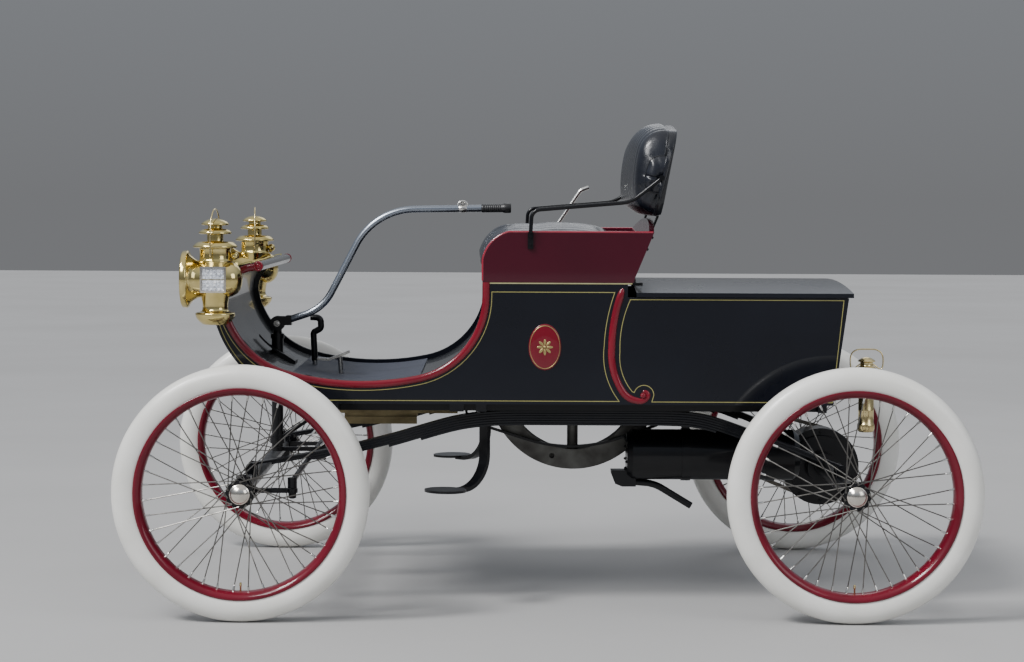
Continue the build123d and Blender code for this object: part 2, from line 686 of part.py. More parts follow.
save(seat_floor.fuse(seat_front, back_board, *seat_pieces), "seat_box")

# Cushion and backrest, as plain closed forms.
cushion_half_width = seat_inner_y - cushion_gap
cushion_low_z = seat_floor_top + 4.0
cushion_front_x = riser_x + 14.0
nose_low = (cushion_front_x, cushion_low_z + 42.0)
nose_high = (riser_x - 84.0, cushion_low_z + 147.0)
cushion_rear = (side_step_x + 46.0, cushion_low_z + 141.0)
cushion_nose = ThreePointArc(nose_low, (riser_x - 16.0, cushion_low_z + 128.0), nose_high)
cushion_top = ThreePointArc(nose_high, (riser_x - 240.0, cushion_low_z + 154.5), cushion_rear)
cushion_rest = Polyline(cushion_rear, (side_step_x + 18.0, cushion_low_z + 113.0),
                        (side_step_x + 30.0, cushion_low_z), (riser_x - 18.0, cushion_low_z),
                        (riser_x - 18.0, cushion_low_z + 29.0), nose_low)
cushion_face = face_of(cushion_nose, cushion_top, cushion_rest)
save(across(cushion_face, -cushion_half_width, cushion_half_width), "seat_cushion")

backrest_half_width = body_half_width - backrest_inset
backrest_low_z = seat_top_z + 48.0
backrest_top_z = backrest_low_z + 279.0
backrest_lean_x = -240.0
backrest_front = ThreePointArc((backrest_lean_x - 28.0, backrest_low_z + 4.0),
                               (backrest_lean_x + 4.0, backrest_low_z + 110.0),
                               (backrest_lean_x - 28.0, backrest_low_z + 250.0))
backrest_crown = TangentArc(backrest_front @ 1, (backrest_lean_x - 108.0, backrest_top_z),
                            tangent=backrest_front % 1)
backrest_rear = Polyline(backrest_crown @ 1, (backrest_lean_x - 126.0, backrest_low_z + 238.0),
                         (backrest_lean_x - 82.0, backrest_low_z), backrest_front @ 0)
backrest_face = face_of(backrest_front, backrest_crown, backrest_rear)
backrest = across(backrest_face, -backrest_half_width, backrest_half_width)
# Half of the backrest seen from the front: across the car and up.
shoulder_low = (backrest_half_width, backrest_low_z + 190.0)
shoulder_middle = (backrest_half_width - 19.0, backrest_top_z - 43.0)
shoulder_high = (backrest_half_width - 66.0, backrest_top_z - 23.0)
lower_corner = (backrest_half_width, backrest_low_z + 36.0)
lower_edge = (backrest_half_width - 36.0, backrest_low_z - 2.0)


def other_hand(point):
    """A point of the front view moved to the other side."""
    return (-point[0], point[1])


front_view = face_of(
    Polyline(other_hand(shoulder_low), other_hand(lower_corner), other_hand(lower_edge), lower_edge,
             lower_corner, shoulder_low),
    ThreePointArc(shoulder_low, shoulder_middle, shoulder_high),
    ThreePointArc(shoulder_high, (0, backrest_top_z + 6.0), other_hand(shoulder_high)),
    ThreePointArc(other_hand(shoulder_high), other_hand(shoulder_middle), other_hand(shoulder_low)))
backrest = backrest & extrude(Plane.YZ.offset(2 * backrest_lean_x) * front_view, amount=400)
save(backrest, "backrest")

# Arm rails: a rod from a plate on the seat side up, back and in to the backrest's end. Two flat
# irons on the back board carry the backrest.
rail_y = body_half_width + rail_stand_off
rail_foot_x = 49.0
rail_foot_z = seat_top_z - 2.0
rail_eye = (-318.0, seat_top_z + 152.0)
rail_path = FilletPolyline((rail_foot_x, rail_foot_z - 2.0), (rail_foot_x - 3.0, seat_top_z + 60.0),
                           (-232.0, seat_top_z + 84.0), rail_eye, radius=[26.0, 90.0])
rail = tube_along(on_side(rail_path, rail_y), rail_radius)
rail += block(rail_foot_x - 8, rail_foot_x + 8, body_half_width, body_half_width + 7,
              rail_foot_z - 46, rail_foot_z)
rail += block(rail_foot_x - 6, rail_foot_x + 6, body_half_width, rail_y, rail_foot_z - 12, rail_foot_z)
rail += pin_across(*rail_eye, 8, backrest_half_width, rail_y + 7)
iron_y = 270.0
iron_width = 26.0
iron_thickness = 6.0


def back_line(z):
    """The rear face of the back board at a height."""
    return seat_rear_low[0] + back_lean * (z - seat_floor_z)


iron_low_z = seat_top_z - 60.0
iron_bend_z = backrest_low_z - 8.0
iron_top = (backrest_lean_x - 115.0, backrest_low_z + 180.0)
iron_low_x = back_line(iron_low_z)
iron_bend_x = back_line(iron_bend_z)
iron_face = outline_of([(iron_low_x, iron_low_z), (iron_bend_x, iron_bend_z), iron_top,
                        (iron_top[0] - iron_thickness, iron_top[1]), (iron_bend_x - iron_thickness, iron_bend_z),
                        (iron_low_x - iron_thickness, iron_low_z)])
iron = across(iron_face, iron_y - iron_width / 2, iron_y + iron_width / 2) - backrest
save(Compound([*both_sides(rail), *both_sides(iron)]), "arm_rails")

# Springs: a stack of leaves, flat under the frame and falling to an eye on each axle.
spring_front_bend_x = 70.0
spring_rear_bend_x = -370.0


def leaf_path(level, front_reach, rear_reach):
    """The centre line of one leaf, between the shares of its two sloping arms."""
    drop = level * leaf_thickness
    middle_z = rail_low - leaf_thickness / 2 - drop
    eye_level = spring_eye_z + spring_eye_radius - leaf_thickness / 2 - drop
    front_bend = (spring_front_bend_x, middle_z)
    rear_bend = (spring_rear_bend_x, middle_z)
    front_tip = (front_bend[0] + (front_axle_x - front_bend[0]) * front_reach,
                 middle_z + (eye_level - middle_z) * front_reach)
    rear_tip = (rear_bend[0] + (rear_axle_x - rear_bend[0]) * rear_reach,
                middle_z + (eye_level - middle_z) * rear_reach)
    return FilletPolyline(front_tip, front_bend, rear_bend, rear_tip, radius=[700.0, 500.0])


# Each leaf from the top down: its reach along the front arm and along the rear arm.
leaf_table = [(1.0, 1.0), (0.96, 0.96), (0.82, 0.8), (0.64, 0.6)]
spring_low_y = spring_y - spring_width / 2
spring_high_y = spring_y + spring_width / 2
leaves = []
for level, (front_reach, rear_reach) in enumerate(leaf_table):
    leaf_face = trace(leaf_path(level, front_reach, rear_reach), line_width=leaf_thickness)
    leaves.append(across(leaf_face, spring_low_y, spring_high_y))
for x in (front_axle_x, rear_axle_x):
    leaves.append(pin_across(x, spring_eye_z, spring_eye_radius, spring_low_y, spring_high_y))
stack_low_z = rail_low - len(leaf_table) * leaf_thickness
# Clamp plates below the stack.
clamp_plate = 8.0
for x in (spring_front_bend_x - 50.0, -150.0, spring_rear_bend_x + 60.0):
    leaves.append(block(x - 30, x + 30, spring_low_y - 6, spring_high_y + 6,
                        stack_low_z - clamp_plate, stack_low_z))
spring = leaves[0].fuse(*leaves[1:])
for x in (front_axle_x, rear_axle_x):
    spring -= pin_across(x, spring_eye_z, spring_bolt_radius + seat_clearance, 0, 2 * spring_y)
save(spring, "spring_left")
save(spring.mirror(Plane.XZ), "spring_right")

# Sub-frame: two angle-iron rails on the springs, cross members, and the strap under the engine.
strap_thickness = 7.0
strap_front = (237.0, rail_low)
strap_rear = (-402.0, rail_low)
strap_low_z = body_bottom_z - 158.0
rail_foot = block(rail_rear_x, rail_front_x, spring_y - 22, spring_y + 22, rail_top_z - rail_plate, rail_top_z)
rail_web = block(rail_rear_x, rail_front_x, spring_y + 22 - rail_plate, spring_y + 22, rail_low, rail_top_z)
# Each cross member: where it lies along the car, and its width.
cross_spans = [(600.0, 24.0), (255.0, 40.0), (186.0, 30.0), (-650.0, 40.0), (-778.0, 24.0)]
frame_pieces = both_sides(rail_foot + rail_web)
for x, width in cross_spans:
    frame_pieces.append(block(x - width / 2, x + width / 2, -body_half_width, body_half_width,
                              rail_low, rail_top_z))
hanger_member_x = muffler_hanger_x[0]
frame_pieces.append(block(hanger_member_x - 15, hanger_member_x + 15, strap_y - strap_width / 2, spring_y,
                          rail_low, rail_top_z))
strap_path = FilletPolyline((strap_front[0], strap_front[1] + 3), (strap_front[0] - 12.0, rail_low - 52.0),
                            (-82.0, strap_low_z - 10.0), (-330.0, rail_low - 62.0),
                            (strap_rear[0], strap_rear[1] + 3),
                            radius=[20.0, 420.0, 60.0])
frame_pieces.append(across(trace(strap_path, line_width=strap_thickness), strap_y - strap_width / 2,
                           strap_y + strap_width / 2))
save(frame_pieces[0].fuse(*frame_pieces[1:]), "sub_frame")

# Steering column: the fixed tube round the spindle, its foot on the floor and its stay.
column = upright(column_x, 0, column_radius, column_bottom_z, column_top_z)
column += upright(column_x, 0, column_radius + 5, column_bottom_z + 10, column_bottom_z + 30)
column += upright(column_x, 0, column_radius + 3, column_top_z - 14, column_top_z)
stay_end_x = cross_spans[0][0] + cross_spans[0][1] / 2
column += bar((column_x, 0, column_bottom_z + 20), (stay_end_x - 12, 0, rail_low + rail_height / 2), 8)
column -= block(stay_end_x - 60, stay_end_x, -30, 30, rail_low - 20, rail_top_z + 20)
# The foot is a wedge on the board, with a thin tongue that follows the dash upwards.
foot_half_width = 40.0
foot_rear_x = column_x - 57.0
foot_front_x = column_x + 59.0
foot_level = body_bottom_z + 114.0
foot_depth = 60.0
foot_face = outline_of([(foot_rear_x, foot_level - foot_depth), (foot_rear_x, foot_level - 23.0),
                        (foot_rear_x + 36.0, foot_level), (foot_front_x, foot_level),
                        (foot_front_x, foot_level - foot_depth)])
under_board = across(strip(dash_lines, board_drop, board_drop + 2 * foot_depth), -side_inner_y, side_inner_y)
column += across(foot_face, -foot_half_width, foot_half_width) - under_board
tongue_face = strip(dash_lines, board_drop - 13.0, board_drop - 8.0)
tongue_strip = across(tongue_face, column_radius + 2, foot_half_width)
column += tongue_strip & block(foot_rear_x + 32.0, foot_front_x - 8.0, 0, foot_half_width,
                             foot_level - 23.0, foot_level + 60.0)
column -= upright(column_x, 0, spindle_radius + running_clearance, 0, 2 * body_bottom_z)
save(column, "steering_column")

# Power plant under the seat: one plain block with its crankcase, barrel, head and two feet.
case_high_y = 92.0
case_low_y = -104.0
foot_height = 20.0
engine = pin_across(crank_x, crank_z, 96, case_low_y, case_high_y)
engine += Pos(crank_x - 248.0, (case_low_y + case_high_y) / 2, crank_z) * Rot(Y=90) * Cylinder(78, 420)
engine += block(crank_x - 528.0, crank_x - 448.0, case_low_y + 12, case_high_y - 12, crank_z - 80, crank_z + 80)
engine += block(crank_x - 586.0, crank_x - 518.0, -70, 60, rail_top_z, rail_top_z + foot_height)
engine += block(crank_x + 22.0, crank_x + 283.0, -60, 50, rail_top_z, rail_top_z + foot_height)
save(engine, "engine_block")

flywheel_low = flywheel_y - flywheel_width / 2
flywheel_high = flywheel_y + flywheel_width / 2
flywheel_inner_radius = flywheel_radius - flywheel_rim_depth
flywheel_hub_radius = 55.0
flywheel_spokes = 5
flywheel = pin_across(crank_x, crank_z, flywheel_radius, flywheel_low, flywheel_high)
flywheel -= pin_across(crank_x, crank_z, flywheel_inner_radius, flywheel_low - 1, flywheel_high + 1)
flywheel -= pin_across(crank_x + 61.0, crank_z - 211.0, 8.0, flywheel_high - 20.0, flywheel_high + 1)
flywheel += pin_across(crank_x, crank_z, flywheel_hub_radius, flywheel_low, flywheel_high)
flywheel += pin_across(crank_x, crank_z, 22, case_high_y, flywheel_low)
for number in range(flywheel_spokes):
    angle = -90 + number * 360 / flywheel_spokes
    start = at((crank_x, crank_z), flywheel_hub_radius - 15, angle)
    end = at((crank_x, crank_z), flywheel_inner_radius + 13, angle)
    flywheel += bar((start[0], flywheel_y, start[1]), (end[0], flywheel_y, end[1]), 16)
save(flywheel, "flywheel")


def chain_lines(extra):
    """The chain's run round both sprockets, set out by extra."""
    run = Vector(rear_axle_x - crank_x, axle_z - crank_z)
    turn = math.degrees(math.atan2(run.Y, run.X))
    lean = math.degrees(math.asin((rear_sprocket_radius - front_sprocket_radius) / run.length))
    upper = turn - 90 - lean
    lower = turn + 90 + lean
    front_arc = CenterArc((crank_x, crank_z), front_sprocket_radius + extra, lower, 360 - (lower - upper))
    rear_arc = CenterArc((rear_axle_x, axle_z), rear_sprocket_radius + extra, upper, lower - upper)
    return [front_arc, Line(front_arc @ 1, rear_arc @ 0), rear_arc, Line(rear_arc @ 1, front_arc @ 0)]


# Drive chain: a band of rollers, with a block for every second link.
link_length = 20.0
link_depth = 13.0
link_overhang = 3.0
chain_low = chain_y - chain_width / 2
chain_high = chain_y + chain_width / 2
band = across(face_of(*chain_lines(chain_depth)), chain_low, chain_high)
band -= across(face_of(*chain_lines(0.0)), chain_low - 1, chain_high + 1)
middle = Wire([edge for line in chain_lines(chain_depth / 2 + 1) for edge in line.edges()])
link_count = int(middle.length / (2 * chain_pitch))
links = []
for number in range(link_count):
    spot = middle @ (number / link_count)
    run = middle % (number / link_count)
    slant = math.degrees(math.atan2(run.Y, run.X))
    plate = Pos(spot.X, spot.Y) * Rot(Z=slant) * Rectangle(link_length, link_depth)
    links.append(across(plate, chain_low - link_overhang, chain_high + link_overhang))
chain = band.fuse(*links) - across(face_of(*chain_lines(0.0)), chain_low - 20, chain_high + 20)
save(chain, "drive_chain")

# Transmission drums on the crankshaft, the front sprocket and the starting shaft.
# Each drum from the outside in: its radius and the two widths it lies between.
drum_table = [(112.0, -262.0, -212.0), (96.0, -212.0, chain_y - 16), (26.0, chain_y + 8, case_low_y)]
transmission = pin_across(crank_x, crank_z, front_sprocket_radius - seat_clearance, chain_y - 16, chain_y + 8)
for radius, low, high in drum_table:
    transmission += pin_across(crank_x, crank_z, radius, low, high)
shaft_shoulder_y = -(body_half_width + 6)
shaft_end_y = -(body_half_width + 26)
transmission += pin_across(crank_x, crank_z, shaft_radius + 3, shaft_shoulder_y, drum_table[0][1])
transmission += pin_across(crank_x, crank_z, shaft_radius, shaft_end_y, shaft_shoulder_y)
save(transmission, "transmission")

# Rear axle: tube, ribbed differential drum, sprocket, perches and the spindles for the wheels.
drum_inner_y = -20.0
drum_outer_y = chain_y + 22.0
rear_axle = pin_across(rear_axle_x, axle_z, rear_axle_radius,
                       end_clearance - hub_inner_y, hub_inner_y - end_clearance)
rear_axle += pin_across(rear_axle_x, axle_z, stub_radius, -stub_end_y, stub_end_y)
rear_axle += pin_across(rear_axle_x, axle_z, differential_radius, drum_outer_y, drum_inner_y)
rear_axle += pin_across(rear_axle_x, axle_z, differential_radius - 22.0, drum_inner_y, drum_inner_y + 14.0)
rear_axle += pin_across(rear_axle_x, axle_z, 46.0, drum_inner_y + 14.0, drum_inner_y + 60.0)
rear_axle += pin_across(rear_axle_x, axle_z, rear_sprocket_radius - seat_clearance, chain_y - 6, drum_outer_y)
for piece in make_perch(rear_axle_x):
    for copy in both_sides(piece):
        rear_axle += copy
save(rear_axle, "rear_axle")

# Muffler with its end caps, bands, outlet block, tail pipe and hanger strips.
muffler_front_x = -235.0
muffler_rear_x = -733.0
cap_depth = 16.0
muffler_section = [(0.0, muffler_rear_x), (muffler_radius - 12, muffler_rear_x),
                   (muffler_radius, muffler_rear_x + cap_depth), (muffler_radius, muffler_front_x - cap_depth),
                   (muffler_radius - 12, muffler_front_x), (0.0, muffler_front_x)]
muffler = Pos(0, muffler_y, muffler_z) * Rot(Y=90) * turned(muffler_section)
for x in muffler_hanger_x:
    muffler += Pos(x, muffler_y, muffler_z) * Rot(Y=90) * Cylinder(muffler_radius + 3, 26)
    muffler += block(x - 12, x + 12, muffler_y - 3, muffler_y + 3, muffler_z + muffler_radius - 8, rail_low)
outlet_low_z = muffler_z - 92.0
outlet_face = outline_of([(-190.0, outlet_low_z + 47), (-190.0, outlet_low_z + 38), (-202.0, outlet_low_z + 8),
                          (-222.0, outlet_low_z), (-262.0, outlet_low_z), (-262.0, outlet_low_z + 47)])
muffler += across(outlet_face, muffler_y - 26, muffler_y + 26)
tail_path = FilletPolyline((-230.0, outlet_low_z + 13), (-316.0, outlet_low_z + 7), (-424.0, outlet_low_z - 58),
                           radius=110.0)
muffler += tube_along(on_side(tail_path, muffler_y), 10)
save(muffler, "muffler")

# Radiator: two headers each side, cross tubes between them and thin plates along the tubes.
upper_header = (256.0, 615.0, rail_low - 26.0)
lower_header = (375.0, 586.0, rail_low - 57.0, rail_low - 36.0)
header_half = 12.0
header = block(upper_header[0], upper_header[1], radiator_y - header_half, radiator_y + header_half,
               upper_header[2], rail_low)
header += block(lower_header[0], lower_header[1], radiator_y - header_half, radiator_y + header_half,
                lower_header[2], lower_header[3])
header += block(lower_header[0], lower_header[1], radiator_y - header_half, radiator_y + 4,
                lower_header[3] - 1, upper_header[2] + 1)
radiator_pieces = both_sides(header)
tube_z = rail_low - 31.0
tube_radius = 8.0
tube_count = 9
tube_pitch = (lower_header[1] - lower_header[0] - 26.0) / (tube_count - 1)
for number in range(tube_count):
    x = lower_header[0] + 13.0 + number * tube_pitch
    radiator_pieces.append(pin_across(x, tube_z, tube_radius, 10 - radiator_y, radiator_y - 10))
fin_count = 12
fin_thickness = 2.0
fin_pitch = 2 * (radiator_y - 30.0) / (fin_count - 1)
for number in range(fin_count):
    y = 30.0 - radiator_y + number * fin_pitch
    radiator_pieces.append(block(lower_header[0] + 2, lower_header[1] - 2, y, y + fin_thickness,
                                 tube_z - 14, tube_z + 14))
save(radiator_pieces[0].fuse(*radiator_pieces[1:]), "radiator")

# Steps: a curved hanger from the frame and a flat oval tread.
tread_z = 330.0
tread_half_length = 62.0
tread_half_width = 56.0
tread_thickness = 7.0
hanger_x = 176.0
hanger_y = spring_y - 48.0
hanger_reach = 158.0
hanger_path = FilletPolyline((0.0, rail_low), (0.0, tread_z), (hanger_reach - 32.0, tread_z), radius=95.0)
hanger = across(trace(hanger_path, line_width=12.0), -16, 16)
tread_face = Ellipse(tread_half_width, tread_half_length)
tread = Pos(hanger_reach, 0, tread_z) * extrude(tread_face, amount=tread_thickness)
step = Pos(hanger_x, hanger_y, 0) * Rot(Z=46) * (hanger + tread)
save(Compound(both_sides(step)), "steps")

# Levers: the two pedals, and the hand lever outside the right side and the arm rail.
hook_path = FilletPolyline((hook_stem[1][0], hook_stem[1][2] - 4), (hook_stem[1][0] + 2, body_bottom_z + 175.0),
                           (676.0, body_bottom_z + 184.0), (678.0, body_bottom_z + 217.0),
                           (708.0, body_bottom_z + 216.0), radius=[7.0, 12.0, 14.0])
hook_pedal = bar(*hook_stem) + tube_along(on_side(hook_path, hook_pedal_y), 6.5)
blade = outline_of([(674.0, body_bottom_z + 100.0), (674.0, body_bottom_z + 106.0),
                    (640.0, body_bottom_z + 104.0), (581.0, body_bottom_z + 127.0),
                    (579.0, body_bottom_z + 120.0), (640.0, body_bottom_z + 97.0)])
flat_pedal = bar(*flat_stem) + across(blade, flat_pedal_y - 20, flat_pedal_y + 20)
lever_radius = 6.5
lever_y = -(rail_y + rail_radius + lever_radius + 2.0)
lever_path = FilletPolyline((90.0, seat_floor_z - 41.0), (-56.0, seat_floor_z + 165.0),
                            (-122.0, seat_floor_z + 263.0), (-148.0, seat_floor_z + 272.0), radius=[600.0, 26.0])
hand_lever = tube_along(on_side(lever_path, lever_y), lever_radius)
hand_lever += pin_across(90.0, seat_floor_z - 41.0, 16, lever_y - 8, -body_half_width)
save(Compound([hook_pedal, flat_pedal, hand_lever]), "control_levers")

# Floor mat on the floor board.
mat_low = floor_line(board_drop)
mat_high = floor_line(board_drop - mat_thickness)
mat_face = face_of(mat_low, mat_high, Line(mat_low @ 0, mat_high @ 0), Line(mat_low @ 1, mat_high @ 1))
floor_mat = across(mat_face, 6 - side_inner_y, side_inner_y - 6)
for slot in pedal_slots:
    floor_mat -= slot
floor_mat -= block(foot_rear_x - 2, foot_front_x, -foot_half_width - 2, foot_half_width + 2,
                   0, 2 * body_bottom_z)
save(floor_mat, "floor_mat")

# Side lamps: a turned font, body and stepped chimney about an upright axis, a drum facing
# forwards with a flared lens rim, a window on the outer side and a wire bail.
lamp_x = 925.0
lamp_y = body_half_width + 79.0
lamp_foot_z = body_bottom_z + 226.0
# Radius and height above the lamp's foot.
lamp_section = [
    (0.0, 0.0), (30.0, 2.0), (50.0, 12.0), (54.0, 20.0), (54.0, 32.0), (36.0, 36.0), (30.0, 49.0),
    (36.0, 77.0), (39.0, 97.0), (39.0, 209.0), (60.0, 215.0), (58.0, 221.0), (26.0, 231.0), (22.5, 237.0),
    (22.5, 253.0), (44.5, 256.0), (40.0, 262.0), (22.0, 266.0), (20.0, 274.0), (37.0, 277.0),
    (26.0, 286.0), (0.0, 291.0),
]
drum_height = 126.0
# Radius and distance ahead of the lamp's upright axis.
drum_section = [
    (0.0, -66.0), (24.0, -62.0), (42.0, -48.0), (50.5, -28.0), (50.5, 52.0), (62.0, 72.0), (78.0, 82.0),
    (78.0, 101.0), (70.0, 101.0), (70.0, 88.0), (0.0, 78.0),
]
lamp_drum_z = lamp_foot_z + drum_height
window_half = 36.0
window_frame = 5.0
window_out_y = lamp_y + 54.0
lamp = Pos(lamp_x, lamp_y, lamp_foot_z) * turned(lamp_section)
lamp += Pos(lamp_x, lamp_y, lamp_drum_z) * Rot(Y=90) * turned(drum_section)
frame_half = window_half + window_frame
lamp += block(lamp_x - frame_half, lamp_x + frame_half, lamp_y, window_out_y,
              lamp_drum_z - window_half, lamp_drum_z + window_half)
lamp -= block(lamp_x - window_half, lamp_x + window_half, window_out_y - 4, window_out_y + 1,
              lamp_drum_z - window_half + window_frame, lamp_drum_z + window_half - window_frame)
bracket_low_x = 930.0
bracket_high_x = 944.0
lamp += block(bracket_low_x, bracket_high_x, body_half_width, body_half_width + 7,
              curl_start_z + 6, curl_start_z + 53)
arm_start = (bracket_low_x + 6, body_half_width + 3, curl_start_z + 34)
lamp += bar(arm_start, (lamp_x, lamp_y, lamp_foot_z + 89.0), 8)
# The bail: an upside-down U of wire, its plane turned out of the car's cross plane.
bail_half_width = 31.0
bail_radius = 2.4
bail_turn = 65.0
bail_low = 219.0
bail_high = 321.0
bail_line = FilletPolyline((-bail_half_width, bail_low), (-bail_half_width, bail_high),
                           (bail_half_width, bail_high), (bail_half_width, bail_low), radius=26.0)
bail = tube_along(on_side(bail_line, 0), bail_radius)
lamp += Pos(lamp_x, lamp_y, lamp_foot_z) * Rot(Z=bail_turn) * bail
save(lamp, "lamp_left")
save(lamp.mirror(Plane.XZ), "lamp_right")

# Tail lamp on a bracket behind the rear panel, with a wire bail over its cap.
tail_x = -912.0
tail_y = body_half_width - 75.0
tail_foot_z = body_bottom_z - 81.0
# Radius and height above the tail lamp's foot.
tail_section = [
    (0.0, 0.0), (20.0, 1.0), (24.5, 8.0), (24.5, 22.0), (22.0, 26.0), (22.0, 158.0), (24.5, 162.0),
    (24.5, 174.0), (26.5, 178.0), (26.5, 184.0), (18.0, 190.0), (18.0, 200.0), (25.0, 203.0), (16.0, 211.0),
    (0.0, 215.0),
]
tail_lens_z = 118.0
tail_lens_radius = 21.0
tail_lens_reach = 34.0
tail_lamp = turned(tail_section)
tail_lamp += bar((0, 0, tail_lens_z), (-tail_lens_reach, 0, tail_lens_z), tail_lens_radius)
tail_lamp += bar((0, 0, tail_lens_z), (0, tail_lens_reach - 4, tail_lens_z), tail_lens_radius - 4)
tail_bail_half = 47.0
tail_bail_line = FilletPolyline((-18.0, 195.0), (-tail_bail_half, 172.0), (-tail_bail_half, 237.0),
                                (tail_bail_half, 237.0), (tail_bail_half, 172.0), (18.0, 195.0),
                                radius=[6.0, 40.0, 40.0, 6.0])
tail_lamp += tube_along(on_side(tail_bail_line, 0), bail_radius - 0.6)
tail_lamp = Pos(tail_x, tail_y, tail_foot_z) * tail_lamp
bracket_plate = 6.0
bracket_z = body_bottom_z + 24.0
box_space = outline_of([(rear_bottom_x, body_bottom_z), (rear_high_x, rear_high_z), (0.0, rear_high_z),
                        (0.0, body_bottom_z)])
plate_space = Pos(-bracket_plate, 0) * box_space
bracket = block(tail_x, rear_bottom_x + 28, tail_y - 8, tail_y + 8, bracket_z - 6, bracket_z + 6)
bracket += block(rear_top_x - 21, rear_bottom_x + 28, tail_y - 20, tail_y + 20, bracket_z - 16,
                 bracket_z + 39) & across(plate_space, -side_inner_y, side_inner_y)
tail_lamp += bracket - across(box_space, -side_inner_y, side_inner_y)
save(tail_lamp, "tail_lamp")
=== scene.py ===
import math

import bmesh
import bpy
from mathutils import Matrix, Vector


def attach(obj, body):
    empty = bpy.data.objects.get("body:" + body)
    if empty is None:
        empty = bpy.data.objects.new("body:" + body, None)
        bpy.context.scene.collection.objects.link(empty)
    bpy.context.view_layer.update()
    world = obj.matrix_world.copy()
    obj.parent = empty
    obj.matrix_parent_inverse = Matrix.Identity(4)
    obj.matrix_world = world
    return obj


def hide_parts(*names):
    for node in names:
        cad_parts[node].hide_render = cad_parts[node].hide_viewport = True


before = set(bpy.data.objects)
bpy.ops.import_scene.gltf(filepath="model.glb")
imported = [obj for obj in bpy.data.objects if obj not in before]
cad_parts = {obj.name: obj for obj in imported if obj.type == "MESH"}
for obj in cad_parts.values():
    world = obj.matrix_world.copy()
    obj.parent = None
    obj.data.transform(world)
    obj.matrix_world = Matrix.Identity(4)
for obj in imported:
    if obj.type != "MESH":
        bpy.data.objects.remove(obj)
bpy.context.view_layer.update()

# Places and sizes below are in millimetres, in the frame's axes: +X ahead, +Y left, +Z up.
MM = 0.001
AXLE_X = 838.0
AXLE_Z = 351.6
WHEEL_Y = 698.5
BODY_HALF_WIDTH = 455.0
BODY_BOTTOM_Z = 577.0
SEAT_FLOOR_Z = 921.0
SIDES = ((1, "left"), (-1, "right"))

# Camera, matched to the photograph: 1024 x 662 pixels, principal point in the middle.
CAMERA_PLACE = Vector((0.1355, 7.1533, 1.1568))
CAMERA_YAW = math.radians(-0.305)
CAMERA_PITCH = math.radians(3.184)
CAMERA_ROLL = math.radians(0.284)
SENSOR_WIDTH = 36.0
FOCAL_PIXELS = 2383.0
IMAGE_WIDTH = 1024

# Depth of the fine grain of a surface, in metres.
GRAIN_DEPTH = 0.0004


def add_camera():
    """The camera at the photograph's place and angle."""
    ahead = Vector((math.sin(CAMERA_YAW) * math.cos(CAMERA_PITCH),
                    -math.cos(CAMERA_YAW) * math.cos(CAMERA_PITCH), -math.sin(CAMERA_PITCH)))
    level_right = ahead.cross(Vector((0, 0, 1))).normalized()
    level_up = level_right.cross(ahead)
    right = level_right * math.cos(CAMERA_ROLL) + level_up * math.sin(CAMERA_ROLL)
    up = level_up * math.cos(CAMERA_ROLL) - level_right * math.sin(CAMERA_ROLL)
    data = bpy.data.cameras.new("camera")
    data.sensor_width = SENSOR_WIDTH
    data.lens = FOCAL_PIXELS * SENSOR_WIDTH / IMAGE_WIDTH
    camera = bpy.data.objects.new("camera", data)
    rotation = Matrix((right, up, -ahead)).transposed().to_4x4()
    camera.matrix_world = Matrix.Translation(CAMERA_PLACE) @ rotation
    bpy.context.scene.collection.objects.link(camera)
    bpy.context.scene.camera = camera


def plug(tree, node, **values):
    """Sets a node's inputs by name: an output is linked in, anything else is the value."""
    for name, value in values.items():
        port = node.inputs[name.replace("_", " ")]
        if isinstance(value, bpy.types.NodeSocket):
            tree.links.new(value, port)
        else:
            port.default_value = value


def add_node(tree, kind, **values):
    """A new node with its inputs set."""
    node = tree.nodes.new(kind)
    plug(tree, node, **values)
    return node


def surface(name, base, other, rough, metallic=0.0, patch=9.0, grain=180.0, bump=0.12, coat=0.0,
            coat_rough=0.03, stretch=(1, 1, 1), specular=0.5):
    """A material whose colour drifts between two tones, with uneven roughness and a fine grain."""
    material = bpy.data.materials.new(name)
    material.use_nodes = True
    tree = material.node_tree
    place = add_node(tree, "ShaderNodeTexCoord").outputs["Object"]
    mapped = add_node(tree, "ShaderNodeMapping", Vector=place, Scale=stretch).outputs["Vector"]
    patches = add_node(tree, "ShaderNodeTexNoise", Vector=mapped, Scale=patch, Detail=6.0).outputs["Fac"]
    fine = add_node(tree, "ShaderNodeTexNoise", Vector=mapped, Scale=grain, Detail=4.0).outputs["Fac"]
    ramp = add_node(tree, "ShaderNodeValToRGB", Fac=patches)
    for stop, position, colour in zip(ramp.color_ramp.elements, (0.34, 0.7), (base, other)):
        stop.position = position
        stop.color = (*colour, 1)
    spread = add_node(tree, "ShaderNodeMapRange", Value=patches, From_Min=0.3, From_Max=0.7,
                      To_Min=rough[0], To_Max=rough[1])
    relief = add_node(tree, "ShaderNodeBump", Height=fine, Strength=bump, Distance=GRAIN_DEPTH)
    plug(tree, tree.nodes["Principled BSDF"], Base_Color=ramp.outputs["Color"],
         Roughness=spread.outputs["Result"], Normal=relief.outputs["Normal"], Metallic=metallic,
         Coat_Weight=coat, Coat_Roughness=coat_rough, Specular_IOR_Level=specular)
    return material


def metal(name, base, other, rough, **more):
    """A surface of bare metal."""
    return surface(name, base, other, rough, metallic=1.0, **more)


